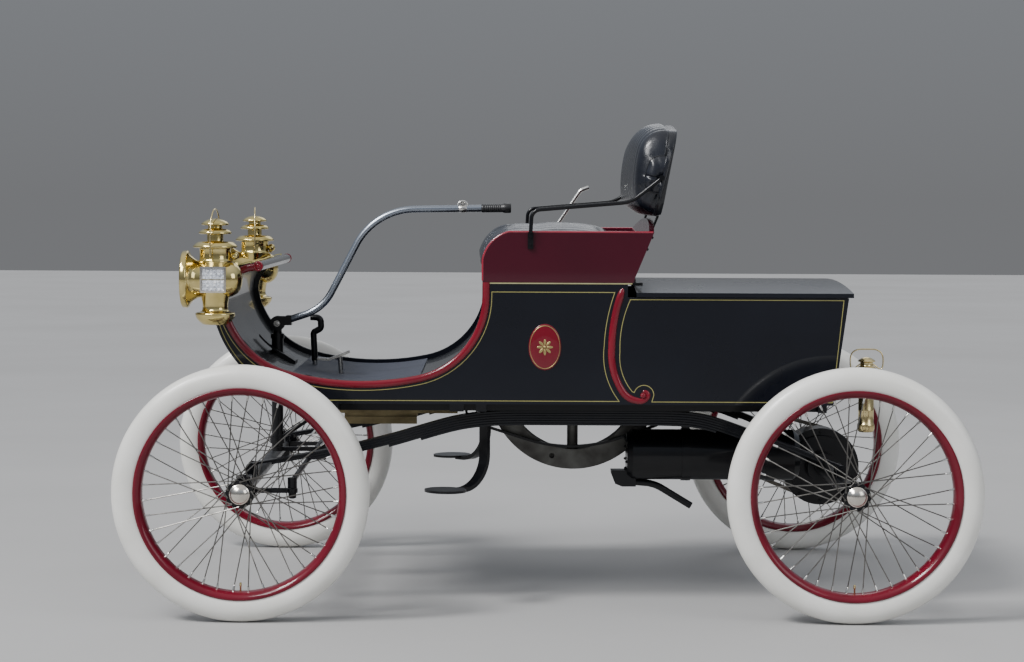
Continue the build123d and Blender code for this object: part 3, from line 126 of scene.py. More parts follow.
def leather_surface(name, base, other, rough):
    """Glossy leather: fine pebbled cells over slow creases."""
    material = surface(name, base, other, rough, patch=22.0, coat=0.35, coat_rough=0.16, specular=0.35)
    tree = material.node_tree
    mapped = tree.nodes["Mapping"].outputs["Vector"]
    cells = add_node(tree, "ShaderNodeTexVoronoi", Vector=mapped, Scale=420.0)
    creases = add_node(tree, "ShaderNodeTexNoise", Vector=mapped, Scale=26.0, Detail=3.0)
    both = add_node(tree, "ShaderNodeMath")
    both.operation = "MULTIPLY_ADD"
    both.inputs[1].default_value = 6.0
    tree.links.new(creases.outputs["Fac"], both.inputs[0])
    tree.links.new(cells.outputs["Distance"], both.inputs[2])
    plug(tree, tree.nodes["Bump"], Height=both.outputs["Value"], Strength=0.35, Distance=0.0006)
    return material


def glass_surface(name, tint, rough):
    """Clear or coloured glass with slight ripples."""
    material = surface(name, tint, tuple(value * 0.9 for value in tint), rough, patch=30.0, grain=90.0)
    plug(material.node_tree, material.node_tree.nodes["Principled BSDF"], Transmission_Weight=0.85)
    return material


CREAM_RUBBER = surface("cream_rubber", (0.83, 0.82, 0.78), (0.72, 0.71, 0.66), (0.28, 0.42), patch=7.0,
                       grain=240.0, coat=0.25, coat_rough=0.2)
# Near-black on the tyre where it meets the rim: painted shadow of the groove between tyre and rim.
TYRE_GROOVE_SHADE = surface("painted_groove_shade", (0.05, 0.045, 0.04), (0.09, 0.08, 0.07), (0.5, 0.7))
RIM_RED = surface("rim_red", (0.15, 0.005, 0.017), (0.11, 0.004, 0.013), (0.25, 0.38), coat=0.5,
                  specular=0.12)
SPOKE_STEEL = metal("spoke_steel", (0.24, 0.23, 0.215), (0.13, 0.125, 0.115), (0.28, 0.45), patch=40.0)
NICKEL = metal("nickel", (0.74, 0.7, 0.63), (0.6, 0.56, 0.5), (0.12, 0.24), patch=30.0)
COACH_BLACK = surface("coach_black", (0.0018, 0.0026, 0.006), (0.003, 0.0042, 0.009), (0.25, 0.34), patch=3.0,
                      grain=60.0, bump=0.03, coat=0.55, coat_rough=0.02, specular=0.1)
INNER_BLACK = surface("inner_black", (0.003, 0.0035, 0.005), (0.006, 0.0065, 0.009), (0.2, 0.28), patch=5.0,
                      grain=50.0, bump=0.05, coat=0.45, coat_rough=0.04, specular=0.1)
CHASSIS_BLACK = surface("chassis_paint", (0.0025, 0.003, 0.0045), (0.006, 0.006, 0.007), (0.3, 0.46),
                        patch=14.0, coat=0.3, coat_rough=0.1, specular=0.15)
SPRING_BLACK = surface("spring_paint", (0.0025, 0.003, 0.005), (0.005, 0.0055, 0.007), (0.28, 0.42),
                       patch=20.0, coat=0.35, coat_rough=0.1, specular=0.15)
SEAT_RED = surface("seat_paint", (0.055, 0.0035, 0.012), (0.042, 0.0028, 0.0095), (0.25, 0.34), patch=3.0,
                   grain=70.0, bump=0.03, coat=0.7, specular=0.15)
# A crimson far lighter than the seat paint, for the seat box's rounded edges: painted highlight.
SEAT_EDGE_HIGHLIGHT = surface("painted_edge_highlight", (0.3, 0.008, 0.03), (0.22, 0.006, 0.022), (0.2, 0.3), patch=12.0, coat=1.0,
                   coat_rough=0.05)
MOULDING_RED = surface("moulding_paint", (0.19, 0.004, 0.016), (0.13, 0.003, 0.012), (0.22, 0.32), patch=8.0,
                       coat=0.7, specular=0.15)
STRIPE = surface("stripe_paint", (0.33, 0.3, 0.1), (0.26, 0.23, 0.08), (0.35, 0.5), patch=20.0)
STRIPE_PALE = surface("stripe_pale", (0.36, 0.34, 0.17), (0.29, 0.27, 0.13), (0.35, 0.5), patch=20.0)
BRASS = metal("polished_brass", (0.73, 0.6, 0.27), (0.54, 0.43, 0.15), (0.07, 0.2), patch=16.0, grain=300.0,
              bump=0.06)
BRASS_PALE = metal("pale_brass", (0.78, 0.66, 0.36), (0.62, 0.5, 0.24), (0.14, 0.28), patch=20.0)
BRASS_DARK = surface("dark_brass", (0.3, 0.245, 0.13), (0.19, 0.15, 0.08), (0.32, 0.5), metallic=0.85,
                     patch=24.0)
BADGE_GOLD = surface("badge_gold", (0.46, 0.37, 0.15), (0.36, 0.28, 0.12), (0.3, 0.45), metallic=0.8,
                     patch=60.0)
ROLL_STEEL = metal("roll_steel", (0.36, 0.36, 0.35), (0.24, 0.24, 0.24), (0.12, 0.22), patch=12.0,
                   stretch=(1, 0.15, 1))
BLUED_STEEL = metal("blued_steel", (0.33, 0.36, 0.41), (0.24, 0.27, 0.32), (0.24, 0.34), bump=0.04)
BRIGHT_STEEL = metal("bright_steel", (0.66, 0.65, 0.62), (0.5, 0.49, 0.47), (0.16, 0.3), patch=26.0)
GREY_IRON = surface("grey_iron", (0.13, 0.13, 0.12), (0.075, 0.07, 0.065), (0.4, 0.65), metallic=0.75,
                    patch=18.0, grain=320.0, bump=0.3)
CHAIN_STEEL = metal("chain_steel", (0.2, 0.185, 0.16), (0.1, 0.09, 0.08), (0.3, 0.5), patch=60.0)
GRIP_BLACK = surface("grip_rubber", (0.012, 0.012, 0.013), (0.02, 0.02, 0.022), (0.3, 0.45), grain=400.0,
                     bump=0.3)
MAT_RUBBER = surface("mat_rubber", (0.016, 0.022, 0.042), (0.028, 0.034, 0.056), (0.45, 0.62), grain=500.0,
                     bump=0.4, patch=20.0)
LEATHER = leather_surface("black_leather", (0.005, 0.0065, 0.011), (0.009, 0.011, 0.018), (0.24, 0.36))
LEATHER_SHELL = leather_surface("shell_leather", (0.005, 0.006, 0.009), (0.008, 0.0095, 0.014), (0.3, 0.42))
# Near-white base colour on the window's jewels: painted reflection, standing in for the glints of the cut
# glass.
JEWEL_GLINT = surface("painted_jewel_glint", (0.9, 0.92, 0.96), (0.62, 0.66, 0.73), (0.03, 0.08), metallic=0.3,
                      patch=60.0, grain=120.0, bump=0.1, coat=1.0)
LENS_GLASS = glass_surface("lens_glass", (0.95, 0.97, 0.97), (0.02, 0.06))
RED_GLASS = glass_surface("red_glass", (0.55, 0.015, 0.02), (0.04, 0.1))
REFLECTOR = metal("reflector", (0.85, 0.85, 0.83), (0.75, 0.75, 0.73), (0.05, 0.12))


def join_shells(*shells):
    """One shell of several: a shell is a list of points and a list of faces."""
    points, faces = [], []
    for more_points, more_faces in shells:
        start = len(points)
        points.extend(more_points)
        faces.extend(tuple(start + index for index in face) for face in more_faces)
    return points, faces


def moved(shell, matrix):
    """A shell put through a matrix."""
    return [matrix @ Vector(point) for point in shell[0]], shell[1]


def at(x, y, z, turn=None):
    """The matrix that takes a piece made at the origin to its place."""
    place = Matrix.Translation((x, y, z))
    return place @ turn if turn else place


def polar(radius, angle):
    """The point at a distance from the origin and at an angle in degrees."""
    return radius * math.cos(math.radians(angle)), radius * math.sin(math.radians(angle))


def turned(angle, axis):
    """The turn by an angle in degrees about an axis."""
    return Matrix.Rotation(math.radians(angle), 4, axis)


FACE_AHEAD = turned(90, "Y")
FACE_BEHIND = turned(-90, "Y")
FACE_LEFT = turned(-90, "X")
FACE_RIGHT = turned(90, "X")


def make_piece(name, body, shell, material, stands_for=(), sharp=38.0):
    """One object, riding on its body, from a shell in millimetres."""
    mesh = bpy.data.meshes.new(name)
    mesh.from_pydata([Vector(point) * MM for point in shell[0]], [], shell[1])
    mesh.materials.append(material)
    work = bmesh.new()
    work.from_mesh(mesh)
    bmesh.ops.recalc_face_normals(work, faces=work.faces)
    work.to_mesh(mesh)
    work.free()
    mesh.shade_smooth()
    mesh.set_sharp_from_angle(angle=math.radians(sharp))
    piece = bpy.data.objects.new(name, mesh)
    bpy.context.scene.collection.objects.link(piece)
    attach(piece, body)
    if stands_for:
        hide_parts(*stands_for)
    return piece


def make_pair(name, shell, material, stands_for="", sharp=38.0):
    """The same piece on both sides of the root: the shell is the left one, and the right one mirrors it."""
    for sign, side in SIDES:
        nodes = (stands_for.format(side),) if stands_for else ()
        mirror = Matrix.Diagonal((1, sign, 1, 1))
        make_piece(f"{name}_{side}", "root", moved(shell, mirror), material, nodes, sharp)


def skin(rows, closed=False):
    """A skin over rows of points. A row of one point is a pole, and an open end is capped."""
    points, faces, starts = [], [], []
    for row in rows:
        starts.append((len(points), len(row)))
        points.extend(row)
    pairs = list(zip(starts, starts[1:]))
    if closed:
        pairs.append((starts[-1], starts[0]))
    for (low, low_count), (high, high_count) in pairs:
        count = max(low_count, high_count)
        for index in range(count):
            after = (index + 1) % count
            if low_count == 1:
                faces.append((low, high + after, high + index))
            elif high_count == 1:
                faces.append((low + index, low + after, high))
            else:
                faces.append((low + index, low + after, high + after, high + index))
    if not closed:
        for start, count in (starts[0], starts[-1]):
            if count > 2:
                faces.append(tuple(range(start, start + count)))
    return points, faces


def lathe(section, segments, closed=False, widen=(1, 1)):
    """A section of (radius, height) turned about Z; widen stretches it into an oval."""
    rows = []
    for radius, height in section:
        ring = [polar(radius, 360 * step / segments) for step in range(segments if radius > 0 else 1)]
        rows.append([Vector((widen[0] * x, widen[1] * y, height)) for x, y in ring])
    return skin(rows, closed)


def rounded(points, radius, steps=3, closed=False):
    """A run of points with each corner turned into a small curve."""
    spots = [Vector(point) for point in points]
    result = []
    last = len(spots) - 1
    for index, spot in enumerate(spots):
        if not closed and index in (0, last):
            result.append(spot)
            continue
        before = spots[index - 1]
        after = spots[(index + 1) % len(spots)]
        cut_before = min(radius, (before - spot).length / 2.1)
        cut_after = min(radius, (after - spot).length / 2.1)
        start = spot + (before - spot).normalized() * cut_before
        end = spot + (after - spot).normalized() * cut_after
        for step in range(steps + 1):
            share = step / steps
            result.append(start * (1 - share) ** 2 + spot * 2 * share * (1 - share) + end * share ** 2)
    return result


def tube(path, radius, sides=10):
    """A round tube along points in space; the radius is one for all or a list, one for each point."""
    spots = [Vector(point) for point in path]
    radii = radius if isinstance(radius, list) else [radius] * len(spots)
    aside = (spots[1] - spots[0]).normalized().orthogonal().normalized()
    rows = []
    for before, spot, after, size in zip([spots[0], *spots], spots, [*spots[1:], spots[-1]], radii):
        heading = (after - before).normalized()
        aside = (aside - heading * aside.dot(heading)).normalized()
        upward = heading.cross(aside)
        ring = [polar(size, 360 * step / sides) for step in range(sides)]
        rows.append([spot + aside * across + upward * up for across, up in ring])
    return skin(rows)


def swept(path, section, y, closed=False, ends=None):
    """A section of (offset, width) swept along points (x, z) at a place across the car."""
    spots = [Vector(spot) for spot in path]
    befores = [spots[-1] if closed else spots[0], *spots]
    afters = [*spots[1:], spots[0] if closed else spots[-1]]
    rows = []
    for before, spot, after, size in zip(befores, spots, afters, ends or [1.0] * len(spots)):
        back, ahead = spot - before, after - spot
        back = (back if back.length > 1e-6 else ahead).normalized()
        ahead = (ahead if ahead.length > 1e-6 else back).normalized()
        heading = (back + ahead).normalized()
        mitre = Vector((-heading.y, heading.x)) * size / max(heading.dot(ahead), 0.45)
        rows.append([Vector((spot.x + mitre.x * offset, y + width * size, spot.y + mitre.y * offset))
                     for offset, width in section])
    return skin(rows, closed)


def arc(centre, radius, start, end, steps):
    """Points of a circle from one angle to another, in degrees."""
    reach = [polar(radius, start + (end - start) * step / steps) for step in range(steps + 1)]
    return [(centre[0] + x, centre[1] + z) for x, z in reach]


def arc_through(first, middle, last, steps):
    """Points of the circle through three points."""
    (ax, ay), (bx, by), (cx, cy) = first, middle, last
    scale = 2 * (ax * (by - cy) + bx * (cy - ay) + cx * (ay - by))
    ux = ((ax**2 + ay**2) * (by - cy) + (bx**2 + by**2) * (cy - ay) + (cx**2 + cy**2) * (ay - by)) / scale
    uy = ((ax**2 + ay**2) * (cx - bx) + (bx**2 + by**2) * (ax - cx) + (cx**2 + cy**2) * (bx - ax)) / scale
    radius = math.hypot(ax - ux, ay - uy)
    start, through, end = (math.degrees(math.atan2(y - uy, x - ux)) for x, y in (first, middle, last))
    turn = (end - start) % 360
    if (through - start) % 360 > turn:
        turn -= 360
    return arc((ux, uy), radius, start, start + turn, steps)


def curve_through(spots, steps):
    """A run of arcs: each goes through three of the points, and its last point starts the next."""
    result = [spots[0]]
    for number, count in enumerate(steps):
        result.extend(arc_through(*spots[2 * number:2 * number + 3], count)[1:])
    return result


def running_lengths(path):
    """How far along a run (x, z) each of its points lies."""
    marks = [0.0]
    for before, after in zip(path, path[1:]):
        marks.append(marks[-1] + math.dist(before, after))
    return marks


def between(start, end, share):
    """The point (x, z) at a share of the way from one point to another."""
    return start[0] + (end[0] - start[0]) * share, start[1] + (end[1] - start[1]) * share


def dense(path, step):
    """The same run of points (x, z) with points about a step apart."""
    result = [path[0]]
    for before, after in zip(path, path[1:]):
        count = max(int(math.dist(before, after) / step), 1)
        result.extend(between(before, after, number / count) for number in range(1, count + 1))
    return result


def block(x_low, x_high, y_low, y_high, z_low, z_high, edge):
    """A rectangular bar with its upright edges and its top and bottom eased."""
    middle = Vector(((x_low + x_high) / 2, (y_low + y_high) / 2))
    corners = [(x_low, y_low), (x_high, y_low), (x_high, y_high), (x_low, y_high)]
    rows = []
    for z, inset in ((z_low, edge), (z_low + edge, 0.0), (z_high - edge, 0.0), (z_high, edge)):
        row = [corner + (middle - corner).normalized() * inset
               for corner in rounded(corners, 2 * edge, 2, closed=True)]
        rows.append([Vector((spot.x, spot.y, z)) for spot in row])
    return skin(rows)


def hex_bolt(size, height):
    """A hexagon head on a washer, standing on the origin along Z."""
    washer = [(0, 0), (size * 1.25, 0), (size * 1.25, height * 0.2), (0, height * 0.2)]
    head = [(size * 0.97, height * 0.2), (size, height * 0.3), (size, height * 0.9), (size * 0.88, height)]
    stud = [(0, height), (size * 0.5, height), (size * 0.5, height * 1.35), (size * 0.4, height * 1.45),
            (0, height * 1.45)]
    return join_shells(lathe(washer, 20), lathe(head, 6), lathe(stud, 12))


def dress(material, *nodes):
    """Puts a material on CAD nodes that keep their shape."""
    for node in nodes:
        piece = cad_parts[node]
        for material_slot in piece.material_slots:
            material_slot.material = material


def both_halves(half):
    """A closed section of (radius, width) from its left half."""
    return [*half, *[(radius, -width) for radius, width in reversed(half) if width]]


# Wheels: each is a red rim with laced spokes, a hub with a domed cap, and a pale tyre, near-black where it
# meets the rim as painted shadow of the groove.
TYRE_SECTION = both_halves([(284.3, 26), (289, 29.5), (296, 32.5), (305, 34.8), (315, 35.5), (325, 34.3),
                            (334, 31), (342, 25.5), (348, 17.5), (351, 8.5), (351.6, 0)])
# Tyre faces inside this reach from the axle get the painted groove shadow.
GROOVE_SHADE_REACH = 291.5
RIM_SECTION = both_halves([(268, 13), (270.5, 22), (277, 30), (283, 33), (288, 34), (289.5, 32.5),
                           (288.8, 30.5), (284, 27), (280, 22), (276, 10)])
HUB_SECTION = both_halves([(22, 0), (22.5, 14), (26, 24), (36.5, 24), (38, 25.5), (38, 26.5), (36.5, 28),
                           (27, 28), (27, 30), (14.1, 30)])
CAP_SECTION = [(0, 44), (5, 43.7), (10, 42.6), (15, 40.8), (20, 37.8), (24, 34.2), (26.2, 31.6), (28.2, 30.8),
               (28.6, 29.6), (28, 28.4), (0, 28.4)]
VALVE_SECTION = [(0, -24), (2.6, -24), (3.4, -22), (3.4, -14), (2.6, -13), (2.6, 2), (0, 2)]
VALVE_REACH = 268.0
SPOKES_PER_FLANGE = 20
SPOKE_LEAD = 63.0
SPOKE_RADIUS = 1.7
SPOKE_HEAD_RADIUS = 2.8
FLANGE_REACH = 34.0
FLANGE_WIDTH = 26.0
NIPPLE_REACH = 271.0
NIPPLE_WIDTH = 6.0
NIPPLE_LENGTH = 18.0
WHEELS = (("front_left", AXLE_X, 1), ("front_right", AXLE_X, -1),
          ("rear_left", -AXLE_X, 1), ("rear_right", -AXLE_X, -1))


def spoke_shells():
    """The laced spokes of one wheel with their heads in the flanges, and their nipples in the rim."""
    spokes, nipples = [], []
    for flange in (1, -1):
        for number in range(SPOKES_PER_FLANGE):
            lead = 1 if number % 2 else -1
            angle = (number + 0.25 * flange) * 360 / SPOKES_PER_FLANGE
            start = Vector((*polar(FLANGE_REACH, angle + lead * SPOKE_LEAD),
                            flange * (FLANGE_WIDTH + lead * 3.2)))
            end = Vector((*polar(NIPPLE_REACH, angle), flange * NIPPLE_WIDTH))
            run = (end - start).normalized()
            spokes.append(tube([start, end], SPOKE_RADIUS, 7))
            spokes.append(tube([start - run * 2.5, start + run * 2.5], SPOKE_HEAD_RADIUS, 7))
            tip = end - run * NIPPLE_LENGTH
            nipples.append(tube([tip, tip + run * 2, end], [2.2, 3.0, 3.4], 8))
    return join_shells(*spokes), join_shells(*nipples)


spokes_shell, nipples_shell = spoke_shells()
wheel_parts = (("rim", lathe(RIM_SECTION, 120, closed=True), RIM_RED, 60),
               ("spokes", spokes_shell, SPOKE_STEEL, 38),
               ("nipples", nipples_shell, BRIGHT_STEEL, 38),
               ("hub", lathe(HUB_SECTION, 48, closed=True), CHASSIS_BLACK, 38),
               ("hub_cap", lathe(CAP_SECTION, 48), NICKEL, 60),
               ("valve", moved(lathe(VALVE_SECTION, 12), at(0, VALVE_REACH, 0, FACE_LEFT)), BRASS_PALE, 38))
for name, wheel_x, sign in WHEELS:
    body = f"wheel_{name}"
    centre = Vector((wheel_x, sign * WHEEL_Y, AXLE_Z))
    place = at(*centre, FACE_LEFT if sign > 0 else FACE_RIGHT)
    tyre = make_piece(f"pneumatic_{name}", body, moved(lathe(TYRE_SECTION, 144, closed=True), place),
                      CREAM_RUBBER, (f"tyre_{name}",), 60)
    # Faces close to the rim take the near-black colour: painted shadow in the groove between tyre and rim.
    tyre.data.materials.append(TYRE_GROOVE_SHADE)
    for face in tyre.data.polygons:
        reach = face.center / MM - centre
        if math.hypot(reach.x, reach.z) < GROOVE_SHADE_REACH:
            face.material_index = 1
    for part, shell, material, sharp in wheel_parts:
        make_piece(f"{part}_{name}", body, moved(shell, place), material, (body,), sharp)

# Side view of the body's inner edge: riser, floor, dash and curl, as in the source.
WELL_RADIUS = 783.0
WELL_CENTRE = (524.6, BODY_BOTTOM_Z + 64.7 + WELL_RADIUS)
RISER_RADIUS = 228.0
RISER_X = 184.0
DASH_RADIUS = 245.0
DASH_X = 907.0
CURL_RADIUS = 82.0
CURL_START_Z = BODY_BOTTOM_Z + 273.0
OUTER_RADIUS = 319.5
OUTER_CENTRE = (948.0 - OUTER_RADIUS, BODY_BOTTOM_Z + OUTER_RADIUS)
OUTER_CURL_RADIUS = 104.0


def touching(x, radius):
    """The centre, at an x, of the circle that touches the floor's arc from inside."""
    return x, WELL_CENTRE[1] - math.sqrt((WELL_RADIUS - radius) ** 2 - (WELL_CENTRE[0] - x) ** 2)


def curl_on(centre, radius, curl_radius):
    """The angle at which the curl takes over from an arc of the dash, and the curl's centre."""
    angle = math.degrees(math.asin((CURL_START_Z - centre[1]) / radius))
    x, z = polar(radius - curl_radius, angle)
    return angle, (centre[0] + x, centre[1] + z)


def bearing(centre, other):
    """The angle in degrees from one point to another."""
    return math.degrees(math.atan2(other[1] - centre[1], other[0] - centre[0]))


RISER_CENTRE = touching(RISER_X + RISER_RADIUS, RISER_RADIUS)
DASH_CENTRE = touching(DASH_X - DASH_RADIUS, DASH_RADIUS)
RISER_END = bearing(WELL_CENTRE, RISER_CENTRE)
DASH_END = bearing(WELL_CENTRE, DASH_CENTRE)
CURL_ANGLE, CURL_CENTRE = curl_on(DASH_CENTRE, DASH_RADIUS, CURL_RADIUS)
OUTER_ANGLE, OUTER_CURL_CENTRE = curl_on(OUTER_CENTRE, OUTER_RADIUS, OUTER_CURL_RADIUS)


def inner_edge(drop, top_z, curl_end=90.0):
    """Points of the body's inner edge set back by drop, from the riser's top to the curl."""
    return [(RISER_X - drop, top_z),
            *arc(RISER_CENTRE, RISER_RADIUS + drop, -180, RISER_END, 16),
            *arc(WELL_CENTRE, WELL_RADIUS + drop, RISER_END, DASH_END, 20)[1:],
            *arc(DASH_CENTRE, DASH_RADIUS + drop, DASH_END, CURL_ANGLE, 26)[1:],
            *arc(CURL_CENTRE, CURL_RADIUS + drop, CURL_ANGLE, curl_end, 14)[1:]]


def outer_edge(drop, curl_end, low_z):
    """Points of the dash's outer edge set in by drop, from the curl down to a height."""
    radius = OUTER_RADIUS - drop
    low_angle = math.degrees(math.asin((low_z - OUTER_CENTRE[1]) / radius))
    return [*arc(OUTER_CURL_CENTRE, OUTER_CURL_RADIUS - drop, curl_end, OUTER_ANGLE, 14),
            *arc(OUTER_CENTRE, radius, OUTER_ANGLE, low_angle, 26)[1:]]


SCROLL_LENGTH = 84.0
ROUNDED_POINTS = 3


def scroll_sizes(path):
    """Sizes along the S bead: rounded off at both ends, and thinner and thinner round the scroll."""
    marks = running_lengths(path)
    sizes = []
    for index, mark in enumerate(marks):
        from_end = min(index, len(path) - 1 - index)
        share = min((from_end + 0.15) / ROUNDED_POINTS, 1.0)
        size = math.sqrt(1 - (1 - share) ** 2)
        rest = (marks[-1] - mark) / SCROLL_LENGTH
        sizes.append(min(size, 0.42 + 0.58 * rest ** 0.7) if rest < 1 else size)
    return sizes


def on_side(x, z):
    """The place of something turned that stands out from the left side panel."""
    return at(x, BODY_HALF_WIDTH, z, FACE_LEFT)


# Red beads: one along the inner edge with a boss over the roll's end, and the reversed S.
BEAD_RADIUS = 10.5
BEAD_WIDTH = 0.96 * BEAD_RADIUS
BEAD_PROUD = 6.5
ROLL_PLACE = (814.0, BODY_BOTTOM_Z + 386.0)
S_BUTTON = (-271.0, BODY_BOTTOM_Z + 26.5)
BEAD_SECTION = [*[(BEAD_WIDTH * across, BEAD_PROUD * up) for across, up in arc((0, 0), 1.0, 0, 180, 12)],
                (-BEAD_WIDTH, -1.0), (BEAD_WIDTH, -1.0)]
S_PATH = curve_through([(-212, 905), (-190, 827), (-181.5, 740), (-188.5, 668), (-215, 611), (-232, 596),
                        (-255, 588.5), (-275, 590.5), (-285, 603), (-280, 612.5), (-270, 613)],
                       (18, 14, 8, 8, 8))
BOSS_SECTION = [(0, 9.2), (4, 9.0), (6, 8.2), (6.8, 6.6), (8.2, 6.2), (9.4, 7.6), (11.5, 8.2), (13.3, 7.2),
                (14.2, 5.0), (14.4, -1), (0, -1)]
BUTTON_SECTION = [(0, 9.4), (3.2, 9.2), (5.6, 8.2), (7.4, 6.2), (8.2, 3.6), (8.4, -1), (0, -1)]
well_bead = swept(inner_edge(BEAD_RADIUS, SEAT_FLOOR_Z), BEAD_SECTION, BODY_HALF_WIDTH)
boss = moved(lathe(BOSS_SECTION, 36), on_side(*ROLL_PLACE))
make_pair("well_bead", join_shells(well_bead, boss), MOULDING_RED, "dash_mouldings", 50)
s_line = dense(S_PATH, 5.0)
s_bead = swept(s_line, BEAD_SECTION, BODY_HALF_WIDTH, ends=scroll_sizes(s_line))
button = moved(lathe(BUTTON_SECTION, 36), on_side(*S_BUTTON))
make_pair("scroll_bead", join_shells(s_bead, button), MOULDING_RED, "side_mouldings", 50)

# The oval badge: a domed red plate, a thin pale ring and a plain rosette.
BADGE_PLACE = on_side(7.0, BODY_BOTTOM_Z + 162.0)
OVAL_WIDEN = (46.0 / 65.5, 1.0)
PLATE_SECTION = [(0, 3.9), (30, 3.8), (50, 3.3), (60, 2.6), (63.5, 2.0), (65.2, 1.0), (65.5, -0.5), (0, -0.5)]
RING_SECTION = [(59.2, 2.2), (59.6, 3.2), (60.4, 3.5), (61.2, 3.1), (61.6, 2.0)]
PETAL_SECTION = [(0, 1.2), (3.2, 1.0), (4.6, 0.2), (4.8, -0.8), (0, -0.8)]
MIDDLE_SECTION = [(0, 2.2), (3.4, 1.6), (4.8, 0.2), (5, -0.8), (0, -0.8)]
PETALS = 8
PETAL_REACH = 14.0
PLATE_TOP = 3.8
badge_plate = lathe(PLATE_SECTION, 72, widen=OVAL_WIDEN)
badge_ring = lathe(RING_SECTION, 72, closed=True, widen=OVAL_WIDEN)
petals = [moved(lathe(PETAL_SECTION, 16, widen=(1.9, 0.85)),
                turned(number * 360 / PETALS, "Z") @ at(PETAL_REACH, 0, PLATE_TOP))
          for number in range(PETALS)]
rosette = join_shells(*petals, moved(lathe(MIDDLE_SECTION, 20), at(0, 0, PLATE_TOP)))
make_pair("badge_plate", moved(badge_plate, BADGE_PLACE), MOULDING_RED, "side_mouldings", 50)
make_pair("badge_ring", moved(badge_ring, BADGE_PLACE), BADGE_GOLD)
make_pair("badge_rosette", moved(rosette, BADGE_PLACE), BADGE_GOLD, sharp=50)

# Pinstripes: thin ribbons round each panel, and the pale line under the seat box.
STRIPE_SECTION = [(-1.05, -0.4), (-1.05, 0.3), (1.05, 0.3), (1.05, -0.4)]
STRIPE_TOP_Z = 894.0
STRIPE_LOW_Z = 586.5
PALE_SECTION = [(-1.7, -0.4), (-1.7, 0.5), (1.7, 0.5), (1.7, -0.4)]
PALE_Z = SEAT_FLOOR_Z - 2.4
front_loop = [*inner_edge(27.0, STRIPE_TOP_Z, 84.0), *outer_edge(9.0, 92.0, STRIPE_LOW_Z),
              *curve_through([(-203.5, STRIPE_LOW_Z), (-175.0, 635.0), (-160.0, 742.0), (-168.5, 818.0),
                              (-189.0, STRIPE_TOP_Z)], (16, 12))]
rear_loop = [(-233.0, 874.0), (-834.5, 874.0), (-805.0, STRIPE_LOW_Z - 1.0), (-295.5, STRIPE_LOW_Z - 1.0),
             *arc_through((-301.0, 603.5), (-271.0, 632.5), (-246.0, 612.0), 14),
             *curve_through([(-240.0, 614.5), (-212.0, 664.0), (-204.5, 727.0), (-211.0, 806.0),
                             (-233.0, 874.0)], (12, 12))[:-1]]
stripes = [swept(loop, STRIPE_SECTION, BODY_HALF_WIDTH, closed=True) for loop in (front_loop, rear_loop)]
make_pair("pinstripes", join_shells(*stripes), STRIPE, sharp=30)
pale_line = swept([(-238.0, PALE_Z), (RISER_X, PALE_Z)], PALE_SECTION, BODY_HALF_WIDTH)
make_pair("seat_line", pale_line, STRIPE_PALE, sharp=30)

# Seat box: the rounded edge of each side panel, along its top and down its front corner, in a bright crimson
# that is painted highlight.
EDGE_RADIUS = 3.4
EDGE_Y = BODY_HALF_WIDTH - 2.9
EDGE_Z = BODY_BOTTOM_Z + 486.0
edge_bend = arc_through((110.0, EDGE_Z), (157.2, EDGE_Z - 27.8), (183.0, 985.0), 16)
edge_line = dense([(-296.0, EDGE_Z), *edge_bend, (183.0, SEAT_FLOOR_Z + 5.0)], 40.0)
for sign, side in SIDES:
    edge_tube = tube([(x, sign * EDGE_Y, z) for x, z in edge_line], EDGE_RADIUS)
    make_piece(f"seat_edge_highlight_{side}", "root", edge_tube, SEAT_EDGE_HIGHLIGHT, sharp=60)

# Side lamps: a turned oil font, body and stepped chimney, a drum with a flared lens rim,
# a jewelled window on the outer side, a wire bail and a small filler knob.
LAMP_PLACE = (925.0, BODY_HALF_WIDTH + 79.0, BODY_BOTTOM_Z + 226.0)
DRUM_HEIGHT = 126.0
LAMP_BODY = [(0, 0), (33, 0), (37, 2), (45, 9), (51, 16), (54, 22), (55, 26), (55.5, 29), (54.5, 32),
             (51, 33.5), (42, 35.5), (38, 38), (35.5, 43), (35, 50), (36, 62), (39, 76), (42.5, 88),
             (43, 97), (43, 170), (46.5, 174), (47, 177), (44.5, 180), (43.4, 183), (43, 204), (43.6, 207),
             (44, 208.5), (44, 210.5), (44, 212), (57, 213), (61.5, 214.5), (62, 216.5), (60.5, 219.5),
             (56, 224), (51, 228), (46, 230.5), (26, 231.5), (23, 233), (22.5, 236), (22.5, 249.5),
             (24, 250.5), (41, 251), (45.5, 252.5), (46, 254.5), (44, 258), (39.5, 262), (35, 264.5),
             (22, 265.5), (20, 267), (19.5, 269), (19.5, 274), (21, 275), (34, 275.5), (38, 277),
             (38.5, 279), (36.5, 282), (31, 286.5), (22, 291), (12, 294), (0, 295.2)]
DRUM_BODY = [(0, -76), (15, -75), (28, -70.5), (39, -62), (46.5, -50), (50, -38), (51, -28), (51, 36),
             (51.5, 43), (54, 51), (59, 59), (66, 66), (72, 70), (77, 72.5), (79.5, 75), (80, 79),
             (79.5, 87), (78, 90), (75, 91.2), (72.5, 90), (71.5, 87), (71, 80), (66, 74), (0, 52)]
LENS = [(0, 89.5), (20, 88.6), (40, 85.8), (58, 81.5), (70.8, 77.5), (70.8, 75.5), (0, 74)]
DISH = [(0, 54), (24, 58), (46, 66), (62, 73), (70, 78), (70.5, 76), (62, 71), (46, 64), (24, 56), (0, 52)]
WINDOW_HALF = 36.0
WINDOW_INNER = 31.0
WINDOW_BAR = 1.3
PANE_OUT = 53.5
JEWEL_ROWS = 6
BAIL_HALF = 64.0
BAIL_LOW = 190.0
BAIL_ARCH_Z = 241.0
BAIL_ARCH = 80.0
BAIL_TURN = -96.0
KNOB = [(0, 0), (5, 0), (5, 5), (8, 7), (11.5, 11), (12.5, 16), (11.5, 21), (8, 25), (4, 27), (0, 27.5)]
QUADRANTS = ((-1, -1), (1, -1), (1, 1), (-1, 1))


